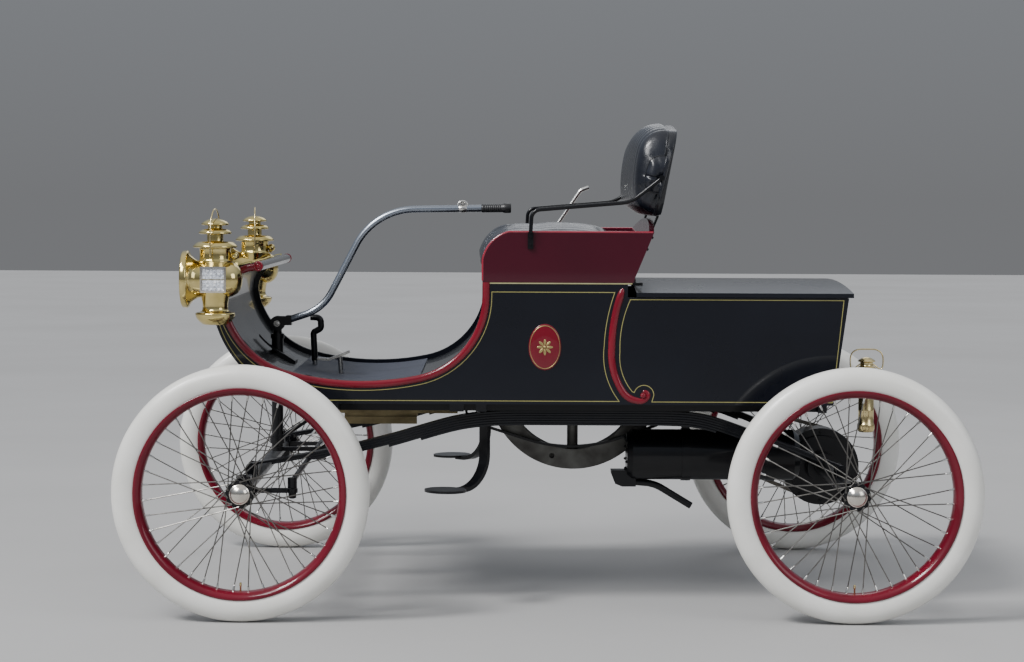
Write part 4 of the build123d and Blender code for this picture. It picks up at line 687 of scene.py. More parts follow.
def window_frame():
    """The square frame round the side window, in the plane x, z with y outwards."""
    rows = []
    for half, depths in ((WINDOW_HALF, (0.0, 52.0, 57.5)), (WINDOW_INNER, (58.5, 54.0, 0.0))):
        ring = rounded([(half * x, half * z) for x, z in QUADRANTS], 3, 2, closed=True)
        rows.extend([Vector((x, depth, z)) for x, z in ring] for depth in depths)
    return skin(rows, closed=True)


def jewel_pane():
    """The window's glass: rows of small pyramids on two thin plates, parted by a narrow slit."""
    cell = 2 * WINDOW_INNER / JEWEL_ROWS
    shells = [block(-WINDOW_INNER, WINDOW_INNER, 48.0, PANE_OUT, low, low + WINDOW_INNER - WINDOW_BAR, 0.3)
              for low in (-WINDOW_INNER, WINDOW_BAR)]
    for row in range(JEWEL_ROWS):
        room = JEWEL_ROWS - 1 - row if row >= JEWEL_ROWS / 2 else -row
        z = -WINDOW_INNER + row * cell + WINDOW_BAR * room / (JEWEL_ROWS / 2)
        for column in range(JEWEL_ROWS):
            x = -WINDOW_INNER + column * cell
            base = [Vector((x + dx, PANE_OUT - 0.5, z + dz)) for dx, dz in
                    ((0.3, 0.3), (cell - 0.3, 0.3), (cell - 0.3, cell - 1.2), (0.3, cell - 1.2))]
            tip_x = x + cell / 2 + 2.6 * math.sin(3.1 * row + 5.3 * column)
            tip_z = z + cell / 2 + 2.6 * math.cos(4.7 * row + 2.9 * column)
            flat = [Vector((tip_x + dx * 1.4, PANE_OUT + 4.0, tip_z + dz * 1.4)) for dx, dz in QUADRANTS]
            shells.append(skin([base, flat]))
    return join_shells(*shells)


bail_line = [(-42, 0, BAIL_LOW), (-BAIL_HALF, 0, BAIL_LOW), (-BAIL_HALF, 0, BAIL_LOW + 6),
             *[(BAIL_HALF * x, 0, BAIL_ARCH_Z + BAIL_ARCH * z) for x, z in arc((0, 0), 1.0, 180, 0, 15)],
             (BAIL_HALF, 0, BAIL_LOW + 6), (BAIL_HALF, 0, BAIL_LOW), (42, 0, BAIL_LOW)]
drum_place = at(0, 0, DRUM_HEIGHT, FACE_AHEAD)
window_place = at(0, 0, DRUM_HEIGHT)
knob = moved(lathe(KNOB, 24), at(-50, 0, 176.0, turned(-12, "Y")))
lamp_parts = (("body", lathe(LAMP_BODY, 64), BRASS, 50),
              ("drum", join_shells(moved(lathe(DRUM_BODY, 64), drum_place), knob), BRASS, 50),
              ("lens", moved(lathe(LENS, 64), drum_place), LENS_GLASS, 38),
              ("reflector", moved(lathe(DISH, 64), drum_place), REFLECTOR, 38),
              ("window", moved(window_frame(), window_place), NICKEL, 30),
              # The jewels' near-white colour is painted reflection.
              ("jewels", moved(jewel_pane(), window_place), JEWEL_GLINT, 5),
              ("bail", moved(tube(rounded(bail_line, 5, 3), 2.2), turned(BAIL_TURN, "Z")), BRASS_PALE, 60))
for part, shell, material, sharp in lamp_parts:
    make_pair(f"lamp_{part}", moved(shell, at(*LAMP_PLACE)), material, "lamp_{}", sharp)
lamp_arm = tube(rounded([(936, 5, 32), (936, 30, 36), (928, 60, 42)], 14, 5), 8, 14)
lamp_plate = block(930, 944, -0.5, 7, 6, 53, 1.5)
lamp_heads = [moved(hex_bolt(4.0, 3.5), at(937, 7, height, FACE_LEFT)) for height in (14, 46)]
lamp_bracket = moved(join_shells(lamp_arm, lamp_plate, *lamp_heads), at(0, BODY_HALF_WIDTH, CURL_START_Z))
make_pair("lamp_bracket", lamp_bracket, CHASSIS_BLACK, "lamp_{}")

# Tail lamp: a slim turned body with a red lens behind, a clear one at the side, and its bail.
TAIL_Y = BODY_HALF_WIDTH - 75.0
TAIL_PLACE = at(-912.0, TAIL_Y, BODY_BOTTOM_Z - 81.0)
TAIL_BODY = [(0, 0), (17, 0), (20, 1), (23, 5), (24.5, 10), (24.5, 20), (23.5, 24), (22, 26), (22, 60),
             (22.8, 62), (22, 64), (22, 150), (23, 155), (24.5, 160), (24.8, 172), (25.5, 176),
             (26.5, 178.5), (26.6, 183), (25, 185.5), (19.5, 188.5), (18, 191), (18, 198), (19.5, 200.5),
             (24.5, 201.5), (25.2, 203.5), (22, 206.5), (15, 211), (7, 214), (0, 214.8)]
TAIL_LENS_Z = 118.0
TAIL_BAIL_HALF = 47.0
PANEL_LEAN = math.degrees(math.atan2(41.0, 303.0))
BARREL = [(0, 0), (20, 0), (20, 26), (21, 28), (21, 33), (19.5, 34), (18.5, 33), (18.5, 28), (0, 28)]
DOME_GLASS = [(0, 32.8), (8, 32.3), (14, 31), (18.3, 29), (18.3, 28), (0, 28)]
rear_lens = TAIL_PLACE @ at(0, 0, TAIL_LENS_Z, FACE_BEHIND)
side_lens = TAIL_PLACE @ at(0, 0, TAIL_LENS_Z, FACE_LEFT) @ Matrix.Diagonal((0.82, 0.82, 0.88, 1))
tail_bail = tube(rounded([(-18, 0, 195), (-TAIL_BAIL_HALF, 0, 172), (-TAIL_BAIL_HALF, 0, 237),
                          (TAIL_BAIL_HALF, 0, 237), (TAIL_BAIL_HALF, 0, 172), (18, 0, 195)], 34, 8), 2.0)
plate_place = at(-808.0, TAIL_Y, BODY_BOTTOM_Z, turned(-PANEL_LEAN, "Y"))
tail_plate = moved(block(-7, 1, -20, 20, 8, 64, 1.5), plate_place)
tail_heads = [moved(hex_bolt(4.0, 3.5), plate_place @ at(-7, 0, height, FACE_BEHIND)) for height in (15, 57)]
tail_arm = block(-912, -811, TAIL_Y - 7, TAIL_Y + 7, BODY_BOTTOM_Z + 20, BODY_BOTTOM_Z + 30, 1.5)
tail_shell = join_shells(moved(join_shells(lathe(TAIL_BODY, 48), tail_bail), TAIL_PLACE),
                         moved(lathe(BARREL, 40), rear_lens), moved(lathe(BARREL, 40), side_lens))
for part, shell, material, sharp in (
        ("body", tail_shell, BRASS_PALE, 50),
        ("bracket", join_shells(tail_plate, tail_arm, *tail_heads), CHASSIS_BLACK, 38),
        ("red_lens", moved(lathe(DOME_GLASS, 40), rear_lens), RED_GLASS, 38),
        ("side_lens", moved(lathe(DOME_GLASS, 40), side_lens), LENS_GLASS, 38)):
    make_piece(f"tail_lamp_{part}", "root", shell, material, ("tail_lamp",), sharp)

# Drive chain: rollers between pairs of waisted plates, one pitch apart round both sprockets.
CHAIN_Y = -140.0
CHAIN_PITCH = 25.4
CRANK = Vector((-82.0, BODY_BOTTOM_Z + 35.0))
REAR_AXLE = Vector((-AXLE_X, AXLE_Z))
FRONT_SPROCKET = 52.0
REAR_SPROCKET = 104.0
PITCH_LINE = 5.0
LINK_RADIUS = 5.6
INNER_LINK = 5.2
OUTER_LINK = 7.0
run_angle = bearing(CRANK, REAR_AXLE)
lean = math.degrees(math.asin((REAR_SPROCKET - FRONT_SPROCKET) / (REAR_AXLE - CRANK).length))
upper, lower = run_angle - 90 - lean, run_angle + 90 + lean
chain_loop = [*arc(CRANK, FRONT_SPROCKET + PITCH_LINE, lower, upper + 360, 60),
              *arc(REAR_AXLE, REAR_SPROCKET + PITCH_LINE, upper, lower, 90)]
chain_steps = dense([*chain_loop, chain_loop[0]], 2.0)
chain_marks = running_lengths(chain_steps)
pin_count = round(chain_marks[-1] / CHAIN_PITCH)
pins = []
for number in range(pin_count):
    goal = number * chain_marks[-1] / pin_count
    x, z = next(spot for spot, mark in zip(chain_steps, chain_marks) if mark >= goal)
    pins.append(Vector((x, CHAIN_Y, z)))
roller = lathe([(0, -6), (4.4, -6), (4.4, 6), (0, 6)], 12)
chain_shells = []
for number, pin in enumerate(pins):
    after = pins[(number + 1) % pin_count]
    chain_shells.append(moved(roller, at(*pin, FACE_LEFT)))
    heading = (after - pin).normalized()
    aside = Vector((-heading.z, 0, heading.x))
    outline = [spot + heading * along + aside * up for spot, turn in ((pin, 180), (after, 0))
               for along, up in arc((0, 0), LINK_RADIUS, turn - 80, turn + 80, 4)]
    shift = INNER_LINK if number % 2 else OUTER_LINK
    for offset in (-shift, shift):
        chain_shells.append(skin([[spot + Vector((0, offset + thickness, 0)) for spot in outline]
                                  for thickness in (-0.8, 0.8)]))
chain_shell = join_shells(*chain_shells)
make_piece("roller_chain", "root", chain_shell, CHAIN_STEEL, ("drive_chain",), 35)

# Ribbed rubber mat along the floor board.
MAT_RADIUS = WELL_RADIUS + 13.0
MAT_HALF_WIDTH = 429.0
RIB_PITCH = 11.0
# Each step across a rib: how far along its pitch, and how high.
RIB_STEPS = ((0.0, 0.4), (2.5, 0.4), (4.0, 2.6), (9.5, 2.6))
widths = [(number * RIB_PITCH - MAT_HALF_WIDTH + step, rise)
          for number in range(int(2 * MAT_HALF_WIDTH / RIB_PITCH)) for step, rise in RIB_STEPS]
widths += [(MAT_HALF_WIDTH, 0.4), (MAT_HALF_WIDTH, -1.0), (-MAT_HALF_WIDTH, -1.0)]
mat_rows = [[Vector((WELL_CENTRE[0] + x * (MAT_RADIUS - rise), y, WELL_CENTRE[1] + z * (MAT_RADIUS - rise)))
             for y, rise in widths] for x, z in arc((0, 0), 1.0, RISER_END, DASH_END, 40)]
make_piece("ribbed_mat", "root", skin(mat_rows), MAT_RUBBER, ("floor_mat",), 30)

# Seat: the cushion and the backrest are closed leather forms, blown up between their sewn
# channels, with piping on the seams and a flat shell behind the backrest.
CLOTH_FRAMES = 20
CLOTH_PRESSURE = 4.0
CHANNEL_RISE = 10.0
SEAM_DEPTH = 4.0
SEAM_LIFT = 0.05
PIPING_OUT = 0.8


def resample(path, count):
    """A closed run of points (x, z) as count points, evenly spaced."""
    loop = [*path, path[0]]
    marks = running_lengths(loop)
    result = []
    part = 0
    for number in range(count):
        place = marks[-1] * number / count
        while marks[part + 1] < place:
            part += 1
        share = (place - marks[part]) / (marks[part + 1] - marks[part])
        result.append(between(loop[part], loop[part + 1], share))
    return result


def outward(path):
    """The outward direction at each point of a closed run that goes clockwise from ahead to behind."""
    centre = Vector((sum(x for x, _ in path) / len(path), sum(z for _, z in path) / len(path)))
    result = []
    for index, (x, z) in enumerate(path):
        before, after = path[index - 1], path[(index + 1) % len(path)]
        normal = Vector((after[1] - before[1], before[0] - after[0])).normalized()
        if normal.dot(Vector((x, z)) - centre) < 0:
            normal.negate()
        result.append(normal)
    return result


def puff(piece, pinned, cap):
    """Blows a closed form up between its pinned seams and keeps the shape; cap limits each point's move."""
    group = piece.vertex_groups.new(name="pinned")
    group.add(pinned, 1.0, "REPLACE")
    cloth = piece.modifiers.new("cloth", "CLOTH")
    cloth.settings.use_pressure = True
    cloth.settings.uniform_pressure_force = CLOTH_PRESSURE
    cloth.settings.effector_weights.gravity = 0.0
    cloth.settings.vertex_group_mass = "pinned"
    cloth.settings.quality = 5
    cloth.settings.bending_stiffness = 0.4
    cloth.point_cache.frame_start = 1
    cloth.point_cache.frame_end = CLOTH_FRAMES
    for number in range(1, CLOTH_FRAMES + 1):
        bpy.context.scene.frame_set(number)
    shaped = piece.evaluated_get(bpy.context.evaluated_depsgraph_get()).data
    targets = []
    for vertex, result in zip(piece.data.vertices, shaped.vertices):
        shift = result.co - vertex.co
        if shift.length > cap * MM:
            shift *= cap * MM / shift.length
        targets.append(vertex.co + shift)
    piece.modifiers.remove(cloth)
    for vertex, target in zip(piece.data.vertices, targets):
        vertex.co = target
    bpy.context.scene.frame_set(1)


def subdivide_once(piece):
    """Applies one level of smooth subdivision to the mesh."""
    smooth = piece.modifiers.new("smooth", "SUBSURF")
    smooth.levels = 1
    shaped = bpy.data.meshes.new_from_object(piece.evaluated_get(bpy.context.evaluated_depsgraph_get()))
    piece.modifiers.remove(smooth)
    old = piece.data
    piece.data = shaped
    bpy.data.meshes.remove(old)
    piece.data.shade_smooth()


def channel_height(y, pitch):
    """How far a channel stands up at a place across the car: 0 on a seam, 1 in the middle."""
    share = (y / pitch) % 1.0
    return math.sin(math.pi * share) ** 0.55


def stations(half_width, count):
    """Places across the car, evenly spaced."""
    return [-half_width + 2 * half_width * number / count for number in range(count + 1)]


def end_inset(y, half_width, reach, depth):
    """How far a form draws in towards its rounded end at a place across the car."""
    share = max(0.0, (abs(y) - half_width + reach) / reach)
    return depth * (1 - math.sqrt(max(0.0, 1 - share**2)))


def closing_rows(row, middle, bulge, shares):
    """Rings that close an end of a form: its last row shrunk to a point, standing out by a bulge."""
    y = row[0].y
    rows = []
    for share in shares:
        out = bulge * (1 - share ** 4) * (1 - math.exp(-(share / 0.13) ** 2))
        rows.append([Vector((middle[0] + (spot.x - middle[0]) * share, y + math.copysign(out, y),
                             middle[1] + (spot.z - middle[1]) * share)) for spot in row])
    return [*rows, [Vector((middle[0], y, middle[1]))]]


def leather_form(name, node, rows, pins, ends, cap, pin_ends=False):
    """A closed leather form over rows of points, with its ends closed by rings and its pins held."""
    lead, tail = closing_rows(rows[0], *ends), closing_rows(rows[-1], *ends)
    shell = skin([*reversed(lead), *rows, *tail])
    before = 1 + (len(lead) - 1) * len(rows[0])
    pinned = [before + index for index in pins]
    if pin_ends:
        pinned += [0, len(shell[0]) - 1]
    piece = make_piece(name, "root", shell, LEATHER, (node,), 180)
    puff(piece, pinned, cap)
    subdivide_once(piece)
    return piece


def piping(rows, normals, radius, shows):
    """A welt along the first and last row of a form, over the points that show."""
    tubes = []
    for row in (rows[0], rows[-1]):
        tubes.append(tube([spot + Vector((normal.x, 0, normal.y)) * PIPING_OUT
                           for spot, normal in zip(row, normals) if shows(spot, normal)], radius, 8))
    return join_shells(*tubes)


# Cushion: rolled front edge, channels from front to rear, flat where it rests on the seat floor.
CUSHION_HALF_WIDTH = 430.0
CUSHION_CHANNELS = 12
CUSHION_CHANNEL = 71.667
CUSHION_CROWN = 23.0
CUSHION_BOW = 9.0
CUSHION_ROUND = (26.0, 15.0)
CUSHION_ENDS = ((0.0, 1012.0), 4.0, (0.96, 0.9, 0.8, 0.66, 0.5, 0.32, 0.15))


def cushion_shift(x, y):
    """How a point of the cushion's profile moves at a place across the car: ahead and down."""
    reach = (y / CUSHION_HALF_WIDTH) ** 2
    return CUSHION_BOW * (1 - reach) * min(max((x - 40.0) / 100.0, 0.0), 1.0), -CUSHION_CROWN * reach


cushion_profile = resample([*curve_through([(190, 979), (157, 1049), (98, 1070), (-56, 1076), (-176, 1066)],
                                           (12, 20)), (-200, 1046), (-190, 941), (162, 941), (162, 966)], 132)
cushion_normals = outward(cushion_profile)
cushion_rows = []
cushion_pins = []
for y in stations(CUSHION_HALF_WIDTH - 2, 9 * CUSHION_CHANNELS):
    inset = end_inset(y, CUSHION_HALF_WIDTH, *CUSHION_ROUND)
    lift = channel_height(y, CUSHION_CHANNEL)
    row = []
    for (x, z), normal in zip(cushion_profile, cushion_normals):
        soft = 1.0 if z > 1000 else max(0.0, (z - 960) / 40)
        waist = 1 - 0.35 * math.cos((x - 30) / 62.0) ** 8
        height = soft * (CHANNEL_RISE * lift * waist - SEAM_DEPTH) - inset * (0.35 + 0.65 * soft)
        ahead, rise = cushion_shift(x, y)
        if soft > 0 and lift < SEAM_LIFT or soft == 0:
            cushion_pins.append(len(cushion_rows) * len(cushion_profile) + len(row))
        row.append(Vector((x + normal.x * height + ahead * soft, y, z + normal.y * height + rise * soft)))
    cushion_rows.append(row)
cushion = leather_form("leather_cushion", "seat_cushion", cushion_rows, cushion_pins, CUSHION_ENDS, 5.0)
welts = piping(cushion_rows, cushion_normals, 2.6, lambda spot, normal: spot.z > 985.0 and spot.x > -180.0)
make_piece("cushion_piping", "root", welts, LEATHER_SHELL, ("seat_cushion",), 60)

# Backrest, front view: the shoulders are round, and the lower corners are cut off.
BACK_HALF = 427.0
BACK_CHANNEL = 61.0
BACK_CHANNELS = 14
BACK_LOW_Z = 1112.0
BACK_HIGH_Z = 1377.0
BACK_DROP = 14.0
BACK_ROUND = (60.0, 24.0)
BACK_TOP_Z = 1391.0
BACK_CROWN = 23.0
SHOULDER_Y = 364.0
SHOULDER_RADIUS = 66.0
CORNER_Y = 394.0
CORNER_CUT = 36.0
PANEL_Y = 412.0
BACK_PINCH = (-318.0, 1216.0)
BACK_ENDS = (BACK_PINCH, 15.0, (0.97, 0.92, 0.86, 0.78, 0.7, 0.61, 0.52, 0.43, 0.34, 0.25, 0.16, 0.08))


def back_top(y):
    """The backrest's upper edge at a place across the car."""
    reach = abs(y)
    share = min(max((reach - SHOULDER_Y) / SHOULDER_RADIUS, 0.0), 1.0)
    crown = BACK_CROWN * min(reach / SHOULDER_Y, 1.0) ** 2
    return BACK_TOP_Z - crown - SHOULDER_RADIUS * (1 - math.sqrt(1 - share**2))


def back_bottom(y):
    """The backrest's lower edge at a place across the car."""
    return BACK_LOW_Z + CORNER_CUT * max(0.0, (abs(y) - CORNER_Y) / CORNER_CUT) ** 1.6


back_profile = resample([(-302, 1116), (-282, 1128), (-262, 1142), (-252, 1158),
                         *arc_through((-249, 1172), (-246, 1222), (-257, 1308), 20),
                         *arc_through((-259, 1316), (-278, 1352), (-312, 1373), 8),
                         (-342, BACK_HIGH_Z), (-352, 1350), (-316, BACK_LOW_Z)], 96)
back_normals = outward(back_profile)
back_rows = []
back_pins = []
for y in stations(BACK_HALF, 8 * BACK_CHANNELS):
    inset = end_inset(y, BACK_HALF, *BACK_ROUND)
    lift = channel_height(y, BACK_CHANNEL)
    low, high = back_bottom(y), back_top(y)
    row = []
    for (x, z), normal in zip(back_profile, back_normals):
        share = (z - BACK_LOW_Z) / (BACK_HIGH_Z - BACK_LOW_Z)
        height_z = low + (high - BACK_DROP - low) * share
        front = normal.x > -0.3
        gather = 1 - 0.3 * math.cos((share - 0.5) * math.pi) ** 2
        height = CHANNEL_RISE * lift * gather - SEAM_DEPTH - inset if front else 0.0
        if front and lift < SEAM_LIFT and abs(y) < BACK_HALF - 30 or not front:
            back_pins.append(len(back_rows) * len(back_profile) + len(row))
        row.append(Vector((x + normal.x * height, y, height_z + normal.y * height)))
    back_rows.append(row)
backrest = leather_form("leather_backrest", "backrest", back_rows, back_pins, BACK_ENDS, 6.0, pin_ends=True)

# Creases of the end panels, fanning out from the point where the arm rail enters:
# the far end (x, z), the depth and the width of each.
CREASES = ((-264, 1224, 6.0, 4.0), (-268, 1184, 3.5, 6.0), (-276, 1150, 4.5, 6.0), (-296, 1128, 4.0, 6.0),
           (-320, 1150, 3.0, 5.0), (-300, 1285, 2.0, 9.0))
CREASE_LIMIT = 9.0
for vertex in backrest.data.vertices:
    spot = vertex.co / MM
    if abs(spot.y) < PANEL_Y:
        continue
    sink = 0.0
    for end_x, end_z, depth, width in CREASES:
        along = Vector((end_x, end_z)) - Vector(BACK_PINCH)
        place = Vector((spot.x, spot.z)) - Vector(BACK_PINCH)
        share = place.dot(along) / along.length_squared
        if not 0 <= share <= 1:
            continue
        wave = 4.0 * math.sin(share * 5.0 + end_x)
        distance = abs(place.dot(Vector((-along.y, along.x)).normalized()) + wave * share)
        sink += depth * math.exp(-(distance / width) ** 2) * min(1.0, share * 6) * (1 - share**3)
    vertex.co.y -= math.copysign(min(sink, CREASE_LIMIT), spot.y) * MM

# The shell: a flat leather-covered board behind the backrest, with piping round its edge.
SHELL_DEPTH = 28.0
SHELL_DROP = 15.0
SHELL_HALF = 429.0
SHELL_MIDDLE_Z = 1240.0
SHELL_STEPS = 48
# Each ring of the shell: how far behind the rear face, and how far inside the outline.
SHELL_RINGS = ((0.5, 5.0), (2.5, 1.5), (6.0, 0.0), (SHELL_DEPTH - 5, 0.0), (SHELL_DEPTH - 1.5, 1.5),
               (SHELL_DEPTH + 1.0, 5.0))


def shell_ring(depth, inset):
    """The shell's outline at a depth behind the leaning rear face, drawn in by an inset."""
    ring = []
    for y, z in shell_outline:
        inward = Vector((-y, SHELL_MIDDLE_Z - z)).normalized() * inset
        rear_x = -322.0 - 44.0 * (z - BACK_LOW_Z) / 238.0
        taper = 0.75 + 0.25 * (z - BACK_LOW_Z) / 270.0
        ring.append(Vector((rear_x + depth * taper, y + inward.x, z + inward.y)))
    return ring


shell_sides = [SHELL_HALF * math.sin(math.pi * (number / SHELL_STEPS - 0.5))
               for number in range(SHELL_STEPS + 1)]
shell_outline = [*[(y, back_top(y * 0.999) - SHELL_DROP) for y in shell_sides],
                 *[(y, back_bottom(y)) for y in reversed(shell_sides)]]
shell_rows = [shell_ring(depth, inset) for depth, inset in SHELL_RINGS]
make_piece("backrest_shell", "root", skin(shell_rows), LEATHER_SHELL, ("backrest",), 60)
edge_ring = shell_ring(SHELL_DEPTH - 1.0, 1.0)
edge_welt = tube([*edge_ring, edge_ring[0]], 3.0, 8)
welts = piping(back_rows, back_normals, 2.4, lambda spot, normal: normal.x > 0.05 and spot.z > 1150.0)
make_piece("backrest_piping", "root", join_shells(welts, edge_welt), LEATHER_SHELL,
           ("backrest",), 60)

# Grip of the tiller, with its thicker end.
GRIP_START = Vector((190.0, 0.0, 1126.6))
GRIP_END = Vector((102.0, 0.0, 1128.1))
GRIP_RIBS = 9
grip_turn = (GRIP_END - GRIP_START).to_track_quat("Z", "Y").to_matrix().to_4x4()
grip_section = [(0, -1), (10.5, -1), (12, 0.5), (12.5, 4)]
for number in range(GRIP_RIBS):
    start = 8 + number * 6.0
    grip_section += [(12.5, start), (11.9, start + 1.0), (11.9, start + 2.0), (12.5, start + 3.0)]
grip_section += [(12.5, 63), (13.6, 65), (14.6, 68), (14.8, 74), (14.8, 84), (14, 87), (12, 88), (0, 88)]
grip_shell = moved(lathe(grip_section, 32), at(*GRIP_START, grip_turn))
make_piece("ribbed_grip", "tiller", grip_shell, GRIP_BLACK, ("tiller_grip",), 50)

# The tiller's bar: a smooth sleeve over the source's tube, from its socket to the grip.
TILLER_CORNERS = ((766.0, 790.3), (665.0, 824.0), (511.0, 1121.0), (188.0, 1126.7))
TILLER_BENDS = (136.0, 200.0)
SLEEVE_RADIUS = 10.6


def filleted(corners, radii):
    """A run of points (x, z) whose corners are true arcs."""
    spots = [Vector(corner) for corner in corners]
    result = [tuple(spots[0])]
    for before, corner, after, radius in zip(spots, spots[1:], spots[2:], radii):
        back, ahead = (before - corner).normalized(), (after - corner).normalized()
        half = back.angle(ahead) / 2
        centre = corner + (back + ahead).normalized() * radius / math.sin(half)
        start, end = corner + back * radius / math.tan(half), corner + ahead * radius / math.tan(half)
        middle = centre + (corner - centre).normalized() * radius
        result.extend(arc_through(tuple(start), tuple(middle), tuple(end), 24))
    result.append(tuple(spots[-1]))
    return result


bar_line = [(x, 0.0, z) for x, z in dense(filleted(TILLER_CORNERS, TILLER_BENDS), 12.0)]
make_piece("tiller_bar", "tiller", tube(bar_line, SLEEVE_RADIUS, 24), BLUED_STEEL, sharp=60)

# Its clamp near the grip, with a ring on top.
CLAMP_X = 247.0
CLAMP_Z = 1125.6
clamp_shell = tube([(CLAMP_X + step, 0, CLAMP_Z) for step in (-12.2, -11.0, 0.0, 11.0, 12.2)],
                   [10.4, 11.2, 11.2, 11.2, 10.4], 24)
ring_shell = moved(lathe(arc((15.5, 0.0), 3.2, 0, 330, 11), 40, closed=True),
                   at(CLAMP_X, 0, CLAMP_Z + 6.5, FACE_LEFT))
clamp_shell = join_shells(clamp_shell, ring_shell)
make_piece("tiller_clamp", "tiller", clamp_shell, BRIGHT_STEEL, sharp=50)

# Hooked pedal: the black iron round its stem and hook.
HOOK_CORNERS = ((695.0, 663.0), (699.5, 748.0), (676.0, 761.0), (678.0, 794.0), (709.0, 793.0))
HOOK_BENDS = (10.0, 12.0, 14.0)
HOOK_Y = -70.0
HOOK_RADIUS = 9.6
hook_line = [(x, HOOK_Y, z) for x, z in filleted(HOOK_CORNERS, HOOK_BENDS)]
hook_shell = tube(hook_line, [*[HOOK_RADIUS] * (len(hook_line) - 1), 8.0], 16)
make_piece("hooked_pedal", "root", hook_shell, CHASSIS_BLACK, sharp=60)

# Side springs: six leaves under one curved line, the top one with an eye at each axle.
SPRING_LINE = [(838, 403), (700, 428), (600, 448), (520, 467), (430, 490.5), (359, 512), (305, 528),
               (257, 540.5), (200, 549.8), (140, 554.4), (80, 555.9), (-330, 555.9), (-400, 553.5),
               (-445, 547.5), (-500, 532.5), (-567, 509), (-640, 481), (-740, 442), (-838, 403)]
SPRING_Y = BODY_HALF_WIDTH - 55.0
SPRING_HALF = 22.0
LEAF_PITCH = 6.9
LEAF_GAP = 0.5
LEAF_EASE = 0.8
EYE_Z = 390.0
# How far each leaf reaches ahead and behind, from the top one down.
LEAF_REACH = ((838.0, -838.0), (802.0, -805.0), (690.0, -715.0), (590.0, -640.0), (480.0, -570.0),
              (380.0, -505.0))
spring_curve = dense(rounded(SPRING_LINE, 26.0), 24.0)
eye = lathe(both_halves([(7.6, SPRING_HALF), (13.0, SPRING_HALF)]), 32, closed=True)
spring_shells = [moved(eye, at(x, SPRING_Y, EYE_Z, FACE_LEFT)) for x in (AXLE_X, -AXLE_X)]
for level, (ahead, behind) in enumerate(LEAF_REACH):
    low, high = level * LEAF_PITCH, (level + 1) * LEAF_PITCH - LEAF_GAP
    leaf_section = both_halves([(low, SPRING_HALF - LEAF_EASE), (low + LEAF_EASE, SPRING_HALF),
                                (high - LEAF_EASE, SPRING_HALF), (high, SPRING_HALF - LEAF_EASE)])
    leaf_line = [spot for spot in spring_curve if behind <= spot[0] <= ahead]
    spring_shells.append(swept(leaf_line, leaf_section, SPRING_Y))
make_pair("leaf_spring", join_shells(*spring_shells), SPRING_BLACK, "spring_{}", 30)

# Bolts, by body: each row is the place, the way it faces, its size and its height.
bolts = []
for sign, outer in ((1, FACE_LEFT), (-1, FACE_RIGHT)):
    bolts += [((49.0, sign * 462.0, z), outer, 3.8, 3.0) for z in (1028.0, 1050.0)]
    bolts += [((-252.0 - 59.0 * (z - SEAT_FLOOR_Z) / 143.0, sign * 270.0, z), FACE_BEHIND, 4.2, 3.5)
              for z in (1012.0, 1046.0)]
bolts += [((x, -20.0, z), FACE_LEFT, 5.0, 5.0) for x, z in arc(REAR_AXLE, 104, 18, 342, 9)]
bolts += [((x, 164.0, z), FACE_LEFT, 5.5, 5.0) for x, z in arc(CRANK, 40, 0, 300, 5)]
for x, turn in ((-733.0, FACE_BEHIND), (-235.0, FACE_AHEAD)):
    bolts += [((x, y, z), turn, 4.0, 4.0) for y, z in arc((262.0, 417.0), 46, 22, 337, 7)]
tiller_bolts = [((802.0, 21.5, 779.0), FACE_LEFT, 7.5, 6.0), ((802.0, -21.5, 779.0), FACE_RIGHT, 7.5, 6.0),
                ((CLAMP_X, 0.0, 1137.0), None, 5.0, 7.0)]
for name, body, slot, rows, material in (
        ("frame_bolts", "root", "chassis_black", bolts, CHASSIS_BLACK),
        ("tiller_bolts", "tiller", "tiller_steel", tiller_bolts, BRIGHT_STEEL)):
    heads = [moved(hex_bolt(size, height), at(*spot, turn)) for spot, turn, size, height in rows]
    make_piece(name, body, join_shells(*heads), material, sharp=30)

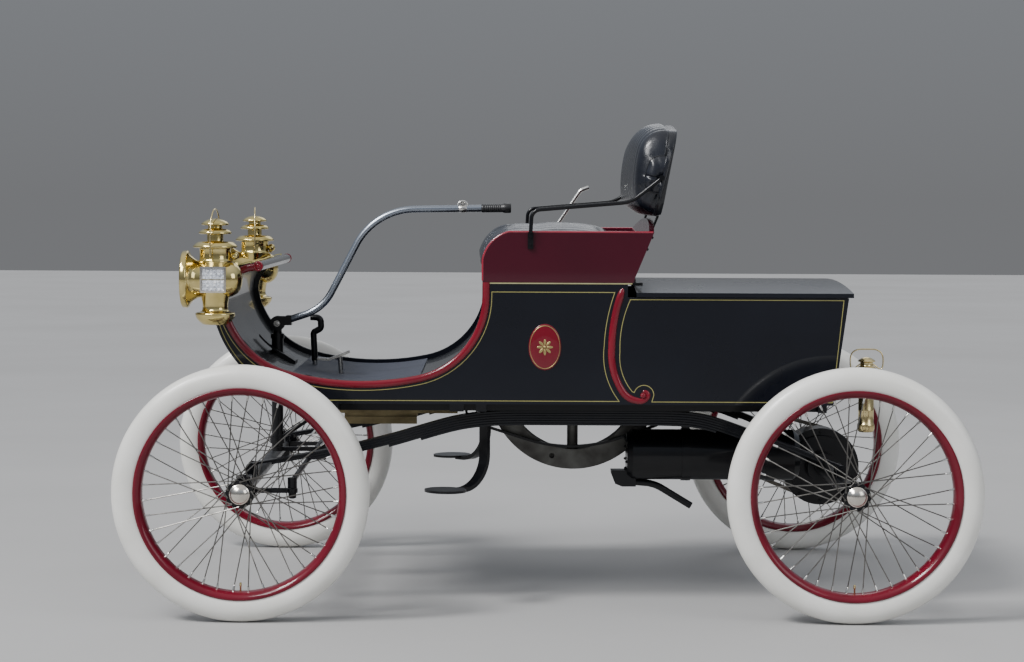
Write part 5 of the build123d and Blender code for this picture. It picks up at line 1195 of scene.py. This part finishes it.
# Materials of the CAD pieces that keep their shape.
dress(COACH_BLACK, "body_side_left", "body_side_right", "rear_panel", "deck_lid")
dress(INNER_BLACK, "curved_dash", "seat_riser")
dress(SEAT_RED, "seat_box")
dress(ROLL_STEEL, "dash_roll")
dress(CHASSIS_BLACK, "front_axle", "knuckle_left", "knuckle_right", "tie_rod", "steering_column",
      "steering_post", "sub_frame", "rear_axle", "muffler", "arm_rails", "steps", "tiller")
dress(BRIGHT_STEEL, "control_levers")
dress(GREY_IRON, "engine_block", "flywheel", "transmission")
dress(BRASS_DARK, "radiator")

# Studio: a pale floor, a dome that is bright overhead and darker near the ground, and soft lamps.
# Each stop of the dome: height, colour.
DOME = ((0.0, (0.22, 0.225, 0.235)), (0.2, (0.3, 0.32, 0.35)), (0.5, (0.52, 0.58, 0.68)),
        (1.0, (0.82, 0.86, 0.92)))
DOME_STRENGTH = 0.8
add_camera()
world = bpy.data.worlds.new("studio")
world.use_nodes = True
sky = world.node_tree
sky_place = add_node(sky, "ShaderNodeTexCoord").outputs["Generated"]
sky_height = add_node(sky, "ShaderNodeSeparateXYZ", Vector=sky_place).outputs["Z"]
sky_ramp = add_node(sky, "ShaderNodeValToRGB", Fac=sky_height)
for number, (height, colour) in enumerate(DOME):
    stop = sky_ramp.color_ramp.elements[0] if number == 0 else sky_ramp.color_ramp.elements.new(height)
    stop.position = height
    stop.color = (*colour, 1)
plug(sky, sky.nodes["Background"], Color=sky_ramp.outputs["Color"], Strength=DOME_STRENGTH)
bpy.context.scene.world = world
bpy.ops.mesh.primitive_plane_add(size=60)
floor = bpy.context.object
floor.name = "studio_floor"
floor.data.materials.append(surface("studio_floor", (0.42, 0.415, 0.41), (0.38, 0.375, 0.37), (0.6, 0.75),
                                    patch=0.6, grain=40.0))
# Each lamp: name, kind, place, size in metres or angle in degrees, power.
LAMPS = (("sun", "SUN", (4.0, 2.2, 6.0), 14.0, 2.4), ("key", "AREA", (3.4, 4.6, 5.2), 2.2, 240.0),
         ("fill", "AREA", (-4.5, 4.0, 3.2), 3.0, 70.0), ("back", "AREA", (-1.0, -5.0, 4.0), 3.0, 30.0))
for name, kind, spot, size, power in LAMPS:
    data = bpy.data.lights.new(name, kind)
    data.energy = power
    if kind == "SUN":
        data.angle = math.radians(size)
    else:
        data.size = size
    lamp = bpy.data.objects.new(name, data)
    lamp.location = spot
    lamp.rotation_euler = (Vector((0, 0, 0.7)) - Vector(spot)).to_track_quat("-Z", "Y").to_euler()
    bpy.context.scene.collection.objects.link(lamp)
